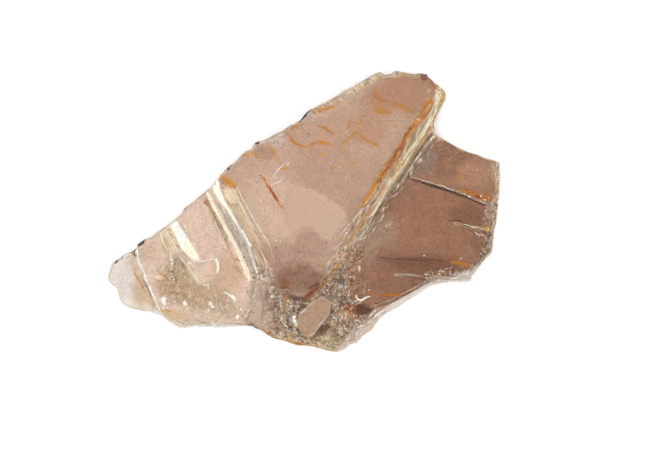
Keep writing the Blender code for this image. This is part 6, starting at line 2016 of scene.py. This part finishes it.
def grain_material():
    """Dark red-brown, glossy, with lighter and darker patches."""
    nodes = Nodes("grain")
    ramp = nodes.add("ShaderNodeValToRGB", Fac=nodes.noise(nodes.position(), 1800.0, 4.0))
    for element, (position, colour) in zip(ramp.color_ramp.elements, GRAIN_TONES):
        element.position, element.color = position, colour
    return nodes.finish(Base_Color=ramp.outputs["Color"], Roughness=0.22, Coat_Weight=0.6)


GRAIN_TONES = [(0.35, (0.05, 0.008, 0.004, 1)), (0.68, (0.30, 0.08, 0.035, 1))]


# ---------------------------------------------------------------- stage, light and camera


def build_stage():
    """A plain pale floor and soft light."""
    mesh = bpy.data.meshes.new("floor")
    corners = [(x * FLOOR_REACH, y * FLOOR_REACH, 0) for x, y in ((-1, -1), (1, -1), (1, 1), (-1, 1))]
    mesh.from_pydata(corners, [], [(0, 1, 2, 3)])
    mesh.materials.append(Nodes("floor").finish(Base_Color=(0.94, 0.94, 0.94, 1), Roughness=0.7))
    floor = new_object("floor", mesh, (0, 0, -FLOOR_DROP))
    world = bpy.data.worlds.new("studio")
    world.use_nodes = True
    world.node_tree.nodes["Background"].inputs["Color"].default_value = (1, 1, 1, 1)
    world.node_tree.nodes["Background"].inputs["Strength"].default_value = WORLD_STRENGTH
    bpy.context.scene.world = world
    for name, place, size, power in LIGHTS:
        lamp = bpy.data.lights.new(name, "AREA")
        lamp.size, lamp.energy = size, power
        made = new_object(name, lamp, place)
        made.rotation_euler = (-Vector(place)).to_track_quat("-Z", "Y").to_euler()
    bpy.context.scene.view_settings.view_transform = "Standard"


FLOOR_REACH, FLOOR_DROP = 1.5, 0.2 * MM  # the floor is just clear of the resting face
WORLD_STRENGTH = 0.83
LIGHTS = [("key_light", (-0.35, 0.30, 0.75), 0.5, 3.2), ("fill_light", (0.55, -0.30, 0.60), 0.5, 3.3)]


def build_camera():
    """A long lens straight above, so that a millimetre is four of the image's pixels."""
    camera = bpy.data.cameras.new("camera")
    camera.lens, camera.sensor_width = CAMERA_LENS, CAMERA_SENSOR
    width = IMAGE_WIDTH * PIXEL
    distance = camera.lens / camera.sensor_width * width
    x = (IMAGE_WIDTH / 2 - ORIGIN_PIXEL[0]) * PIXEL
    y = (ORIGIN_PIXEL[1] - IMAGE_HEIGHT / 2) * PIXEL
    bpy.context.scene.camera = new_object("camera", camera, (x, y, distance + SHARP_HEIGHT))


IMAGE_WIDTH, IMAGE_HEIGHT = 650, 449
ORIGIN_PIXEL = (303.75, 211.5)  # the frame's origin in the image
PIXEL = 0.25 * MM
CAMERA_LENS, CAMERA_SENSOR = 100.0, 36.0
SHARP_HEIGHT = 3.0 * MM  # the height at which a pixel is that wide

# ---------------------------------------------------------------- the scene

build_stage()
build_camera()
book = show("mica_book", build_book(), mica_material())
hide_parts(NODE)
top = Ground(book.data)
show("splinters", splinters(top), chip_material("splinter", SPLINTER_CLEAR, 0.4))
show("loose_flakes", loose_flakes(top), chip_material("flake", FLAKE_CLEAR, 0.3))
show("crest_grain", crest_grain(), grain_material())
